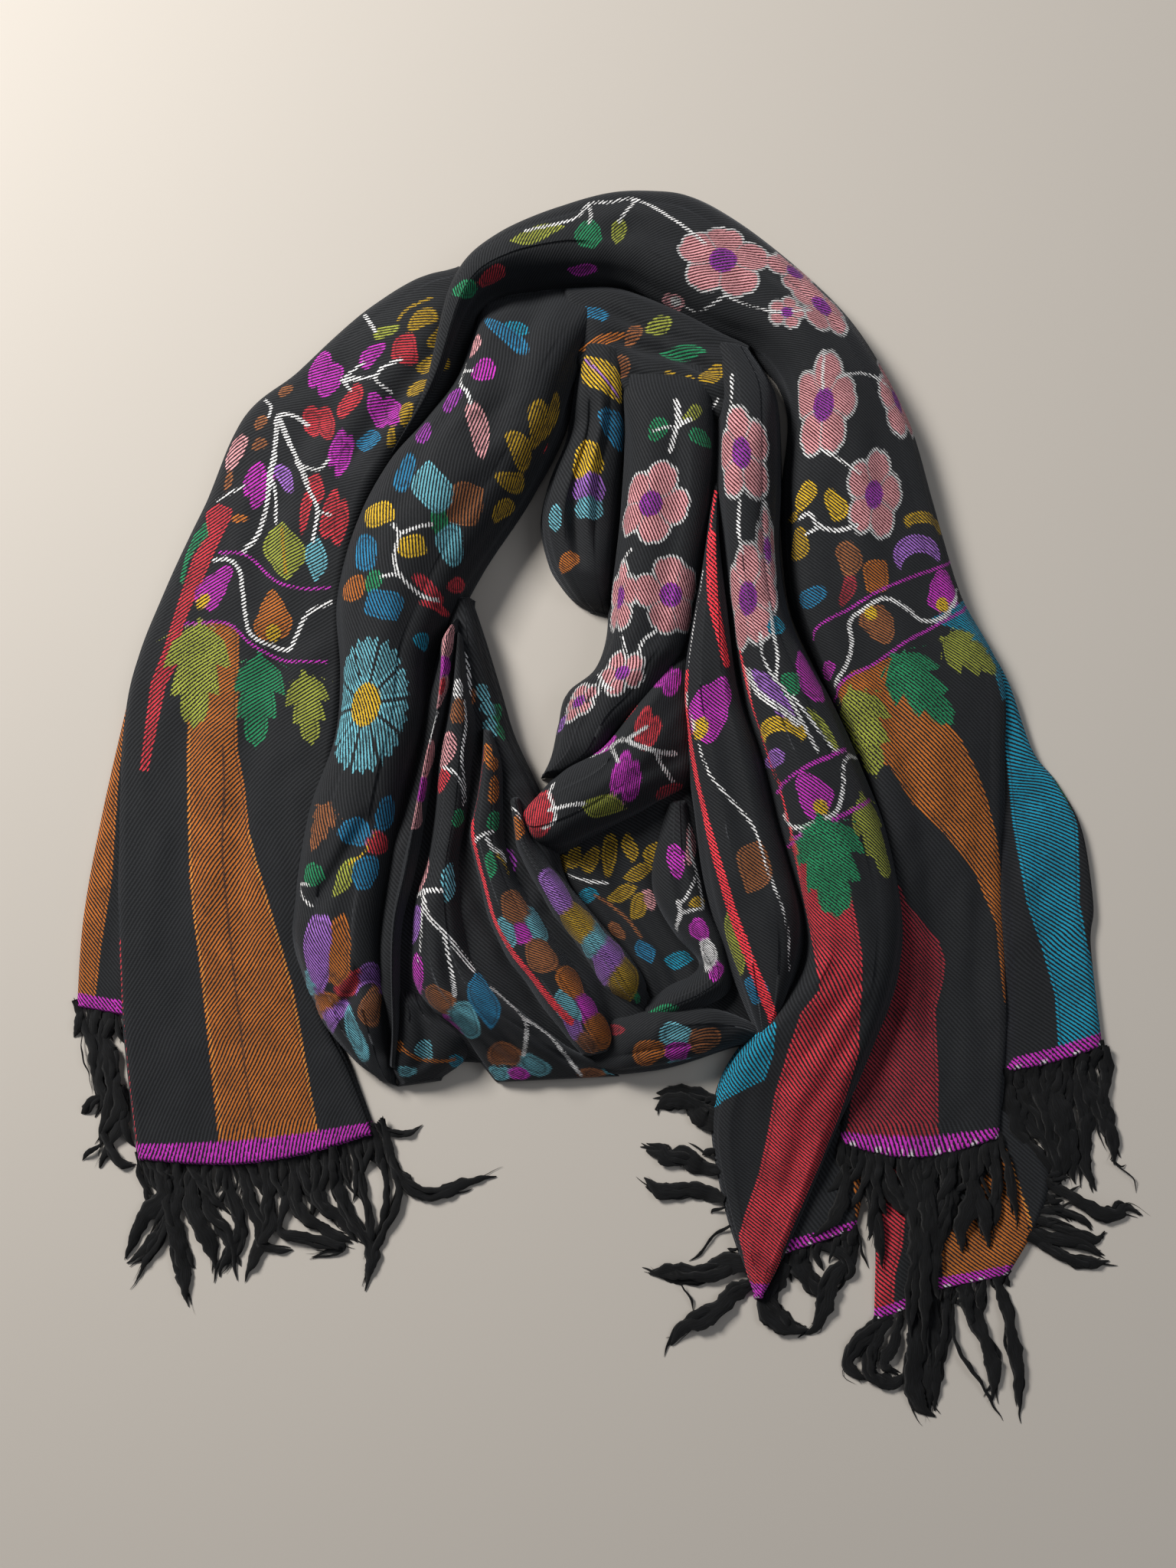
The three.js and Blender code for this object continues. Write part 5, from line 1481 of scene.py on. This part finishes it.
def wool_finish():
    """Matted black wool: long fibres along the lock, dull with a faint cool sheen."""
    finish, tree, shader = new_finish("fringe_wool")
    uv = tree.nodes.new("ShaderNodeUVMap")
    uv.uv_map = "weave"
    scale = tree.nodes.new("ShaderNodeMapping")
    scale.inputs["Scale"].default_value = (1.1, 6.0, 1)
    tree.links.new(uv.outputs["UV"], scale.inputs["Vector"])
    fibres = tree.nodes.new("ShaderNodeTexNoise")
    fibres.inputs["Scale"].default_value = 1.4
    fibres.inputs["Detail"].default_value = 5
    tree.links.new(scale.outputs["Vector"], fibres.inputs["Vector"])
    contrast = tree.nodes.new("ShaderNodeMapRange")
    contrast.inputs["From Min"].default_value = 0.42
    contrast.inputs["From Max"].default_value = 0.72
    tree.links.new(fibres.outputs["Fac"], contrast.inputs["Value"])
    shade = tree.nodes.new("ShaderNodeMix")
    shade.data_type = "RGBA"
    shade.inputs[6].default_value = (0.0008, 0.0009, 0.0011, 1)
    shade.inputs[7].default_value = (0.0085, 0.0095, 0.0115, 1)
    tree.links.new(contrast.outputs["Result"], shade.inputs[0])
    tree.links.new(shade.outputs[2], shader.inputs["Base Color"])
    bump = tree.nodes.new("ShaderNodeBump")
    bump.inputs["Strength"].default_value = 0.8
    bump.inputs["Distance"].default_value = 0.0006
    tree.links.new(fibres.outputs["Fac"], bump.inputs["Height"])
    tree.links.new(bump.outputs["Normal"], shader.inputs["Normal"])
    shader.inputs["Roughness"].default_value = 0.9
    shader.inputs["Sheen Weight"].default_value = 0.06
    shader.inputs["Specular IOR Level"].default_value = 0.25
    return finish


fringe_wool = wool_finish()


def hang_fringe(name, hem, count, length, routes, floor_height, start_height, seed):
    """All the locks along one hem, in one mesh: the long ones as they lie, each as half its width
    and its route, with loose strands beside it, and short matted ends between them. hem is the rows
    of its stretch, the bow, the edge and the part of it that shows. count and length are those of
    the short ends, and the heights are of the floor under the locks and of the hem, in mm."""
    rng = np.random.default_rng(seed)
    rows, bow, edge, first, last = hem
    laid = []
    for half, *route in routes:
        route = np.array(route, float)
        start = route[0] - route[1]
        route[0] += 2 * start / np.hypot(*start)
        laid.append((route, half))
        for share in STRAND_SHARES if half > 1.3 else ():
            shift = rng.uniform(-0.8, 0.8, (len(route), 2)) * half + rng.uniform(-0.6, 0.6, 2) * half
            strand = route + shift * np.linspace(0.4, 1, len(route))[:, None]
            strand[-1] = strand[-2] + (strand[-1] - strand[-2]) * rng.uniform(0.1, 1.2)
            laid.append((strand, max(half * share, 0.14)))
    roots, off = hem_points(rows, bow, edge, first + (last - first) * np.linspace(0, 1, count))
    for root, ahead in zip(roots, off):
        aside = np.array([-ahead[1], ahead[0]]) * rng.uniform(-0.5, 0.5)
        reach = length * rng.uniform(0.4, 1.0)
        bend = root + (ahead + aside * 0.3) * reach * 0.5 + rng.uniform(-1.5, 1.5, 2)
        tip = root + (ahead + aside) * reach + rng.uniform(-2, 2, 2)
        laid.append((np.array([root - ahead * 1.5, bend, tip]), rng.uniform(0.6, 2.0)))
    locks = []
    for route, half in laid:
        grid, uv = wool_lock(route, half, floor_height, start_height, rng)
        mesh = grid_mesh(name + "_lock", grid, uv)
        mesh.materials.append(fringe_wool)
        lock = bpy.data.objects.new(name + "_wool", mesh)
        bpy.context.collection.objects.link(lock)
        locks.append(lock)
    piece = locks[0]
    with bpy.context.temp_override(active_object=piece, object=piece, selected_editable_objects=locks):
        bpy.ops.object.join()
    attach(piece, "root")
    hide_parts(name)


LEFT_TAIL_LOCKS = [
    [2.8, (-99, -165), (-94, -185), (-86, -195), (-76, -199), (-61, -194), (-44, -190)],
    [1.5, (-103, -166), (-90, -171), (-80, -166)],
    [1.8, (-101, -167), (-92, -190), (-93, -207), (-102, -224), (-107, -240)],
    [1.5, (-107, -169), (-97, -192), (-99, -211), (-104, -224)],
    [2.0, (-114, -172), (-108, -199), (-104, -214), (-106, -231)],
    [3.0, (-123, -178), (-119, -200), (-111, -214), (-104, -224), (-106, -244)],
    [3.2, (-132, -179), (-130, -199), (-119, -211), (-111, -221)],
    [3.2, (-141, -180), (-140, -204), (-126, -216), (-113, -221)],
    [2.2, (-146, -181), (-146, -204), (-148, -216), (-131, -220), (-117, -223), (-133, -228)],
    [3.0, (-156, -182), (-155, -201), (-153, -213), (-158, -223), (-142, -225)],
    [3.0, (-168, -183), (-164, -201), (-158, -213), (-160, -228), (-165, -240)],
    [3.2, (-177, -183), (-173, -201), (-167, -216), (-176, -232), (-177, -238)],
    [3.0, (-185, -183), (-184, -204), (-174, -218), (-168, -233)],
    [3.8, (-192, -183), (-191, -204), (-183, -222), (-179, -235)],
    [3.4, (-199, -184), (-200, -208), (-196, -229), (-192, -252)],
    [3.2, (-207, -184), (-204, -204), (-198, -218), (-190, -234)],
    [3.4, (-213, -183), (-206, -199), (-215, -210), (-223, -230)],
    [3.0, (-208, -183), (-204, -210), (-212, -224), (-223, -232)],
    [1.5, (-204, -192), (-205, -218), (-212, -229), (-219, -241)],
    [1.2, (-219, -181), (-216, -194), (-210, -202)],
]
LEFT_BACK_LOCKS = [
    [2.2, (-253, -108), (-248, -121), (-243, -131), (-242, -141), (-242, -153)],
    [2.8, (-243, -106), (-243, -121), (-239, -131), (-240, -145), (-237, -155), (-242, -163)],
    [2.4, (-237, -152), (-242, -155), (-246, -158), (-249, -161)],
    [3.2, (-236, -108), (-238, -124), (-234, -136), (-233, -148), (-235, -160), (-239, -174)],
    [2.8, (-233, -131), (-232, -145), (-229, -160), (-235, -169), (-239, -177)],
    [2.6, (-228, -150), (-227, -162), (-232, -174), (-239, -187)],
    [1.1, (-239, -177), (-244, -181), (-247, -184)],
    [2.4, (-236, -172), (-230, -183), (-221, -186)],
    [1.8, (-226, -160), (-226, -170), (-221, -177)],
    [0.35, (-251, -116), (-249, -131), (-245, -142), (-244, -152)],
]
RIGHT_CORNER_LOCKS = [
    [2.8, (246, -130), (247, -139), (245, -148), (244, -154), (246, -163), (248, -174), (248, -183)],
    [0.4, (248, -182), (253, -187), (257, -190), (258, -196)],
    [3.4, (242, -131), (237, -143), (240, -152), (244, -161), (247, -170), (248, -182)],
    [3.2, (235, -133), (233, -148), (236, -158), (235, -172), (235, -185), (239, -195)],
    [3.6, (227, -134), (228, -148), (226, -160), (227, -172), (228, -184), (230, -192)],
    [4.8, (220, -135), (220, -151), (225, -163), (226, -174), (224, -190)],
    [4.8, (212, -137), (213, -152), (218, -163), (222, -174), (222, -190)],
    [4.8, (205, -138), (206, -151), (211, -162), (218, -171), (221, -181), (220, -193)],
    [4.8, (200, -140), (201, -156), (206, -171), (213, -183), (219, -194)],
    [4.0, (198, -141), (199, -152), (203, -165), (210, -178)],
    [2.4, (223, -135), (218, -145), (216, -154), (217, -163)],
    [0.4, (248, -182), (251, -184), (254, -183)],
]
SIDE_LOCKS = [
    [3.0, (217, -191), (225, -196), (232, -201), (240, -205), (248, -205), (252, -202), (260, -206)],
    [1.5, (216, -197), (223, -204), (231, -207), (237, -213)],
    [1.8, (213, -204), (221, -204), (229, -209)],
    [2.2, (211, -208), (220, -211), (232, -216), (239, -217), (242, -213)],
    [2.6, (208, -212), (216, -216), (226, -218), (235, -221), (242, -224)],
    [2.8, (208, -216), (220, -223), (233, -228), (244, -227)],
]
RIGHT_TAIL_LOCKS = [
    [2.6, (123, -176), (122, -193), (115, -208), (106, -217)],
    [2.2, (129, -177), (133, -195), (136, -213), (139, -231)],
    [4.0, (139, -179), (144, -195), (153, -208), (158, -223)],
    [3.4, (150, -181), (153, -203), (155, -223), (153, -239), (151, -257)],
    [4.4, (160, -181), (161, -203), (160, -225), (164, -244)],
    [4.0, (168, -179), (170, -197), (166, -213), (160, -231)],
    [3.8, (176, -178), (181, -195), (175, -210), (176, -223)],
    [3.4, (183, -175), (182, -192), (185, -205), (188, -221)],
    [2.8, (190, -173), (193, -188), (191, -203), (189, -213)],
    [2.0, (194, -170), (198, -187), (200, -199), (201, -210)],
    [2.0, (134, -180), (136, -193), (134, -208), (132, -218)],
    [2.6, (155, -181), (158, -213), (157, -244), (157, -269)],
]
LOWER_CORNER_LOCKS = [
    [4.4, (157, -242), (154, -264), (151, -280), (155, -293), (161, -298)],
    [4.6, (162, -241), (161, -257), (159, -276), (159, -293)],
    [3.0, (168, -239), (166, -262), (163, -277), (161, -295)],
    [1.0, (172, -239), (170, -257), (176, -273), (185, -286), (192, -299)],
    [3.3, (178, -238), (181, -254), (187, -268), (189, -280), (187, -290)],
    [2.8, (191, -235), (196, -249), (197, -264), (200, -277), (200, -295)],
    [3.0, (175, -239), (178, -249), (180, -255)],
    [2.2, (185, -237), (184, -244), (185, -251)],
]
LOWER_UNDER_LOCKS = [
    [3.4, (139, -254), (127, -264), (122, -275), (130, -282)],
    [3.4, (140, -255), (133, -266), (132, -278), (142, -283), (149, -278)],
    [2.4, (146, -254), (143, -265), (138, -274), (145, -280)],
    [2.0, (150, -250), (152, -264), (150, -270)],
]
CENTRE_TAIL_LOCKS = [
    [3.6, (61, -154), (50, -151), (41, -150), (33, -151)],
    [4.2, (61, -161), (51, -156), (42, -154), (37, -155), (32, -158)],
    [3.6, (60, -165), (55, -163), (51, -158), (46, -155)],
    [4.2, (60, -186), (53, -185), (46, -180), (38, -181), (35, -179), (28, -177)],
    [3.6, (63, -199), (55, -196), (46, -196), (37, -197), (32, -194), (27, -190)],
    [0.8, (67, -212), (59, -217), (55, -224), (48, -229)],
    [4.6, (74, -229), (66, -229), (56, -234), (45, -234), (36, -234), (29, -235)],
    [4.0, (77, -238), (70, -242), (63, -249), (54, -254), (45, -259), (39, -267)],
    [0.5, (45, -240), (49, -246), (50, -252)],
    [0.6, (59, -180), (53, -177), (48, -174)],
]
CENTRE_BACK_LOCKS = [
    [4.6, (92, -230), (84, -245), (88, -253), (97, -259), (104, -260)],
    [4.0, (123, -214), (123, -226), (114, -237), (111, -247), (107, -258), (102, -262)],
    [4.6, (99, -224), (101, -232), (108, -241), (112, -245)],
    [3.0, (109, -219), (119, -224), (121, -232), (114, -240)],
    [0.8, (127, -213), (129, -224), (133, -231)],
]
hang_fringe(
    "left_tail_fringe", (LEFT_TAIL_ROWS, 8, "end", 0.01, 0.99), 50, 34,
    LEFT_TAIL_LOCKS, 0.4, 3.4, 61
)
hang_fringe(
    "left_tail_back_fringe", (LEFT_TAIL_BACK_ROWS, 0, "end", 0.02, 0.7), 12, 26,
    LEFT_BACK_LOCKS, 0.3, 2, 62
)
hang_fringe(
    "right_corner_fringe", (RIGHT_CORNER_ROWS, 2, "end", 0.02, 0.98), 26, 32,
    RIGHT_CORNER_LOCKS, 0.3, 2.8, 63
)
hang_fringe("side_fringe", (LOWER_CORNER_ROWS, 0, "right", 1.9, 3.0), 8, 18, SIDE_LOCKS, 0.3, 2, 64)
hang_fringe(
    "right_tail_fringe", (RIGHT_TAIL_ROWS, 9, "end", 0.03, 0.97), 36, 30,
    RIGHT_TAIL_LOCKS, 4.2, 4.8, 65
)
hang_fringe(
    "lower_corner_fringe", (LOWER_CORNER_ROWS, 0, "end", 0.02, 0.98), 12, 16,
    LOWER_CORNER_LOCKS, 0.3, 2, 66
)
hang_fringe(
    "lower_corner_under_fringe", (LOWER_CORNER_UNDER_ROWS, 0, "end", 0.05, 0.92), 4, 10,
    LOWER_UNDER_LOCKS, 0.3, 1.6, 67
)
hang_fringe(
    "centre_tail_fringe", (CENTRE_TAIL_ROWS, 0, "left", 12.6, 15.6), 5, 8,
    CENTRE_TAIL_LOCKS, 0.3, 3, 68
)
hang_fringe(
    "centre_tail_back_fringe", (CENTRE_TAIL_BACK_ROWS, 0, "end", 0.06, 0.96), 10, 15,
    CENTRE_BACK_LOCKS, 0.3, 2, 69
)
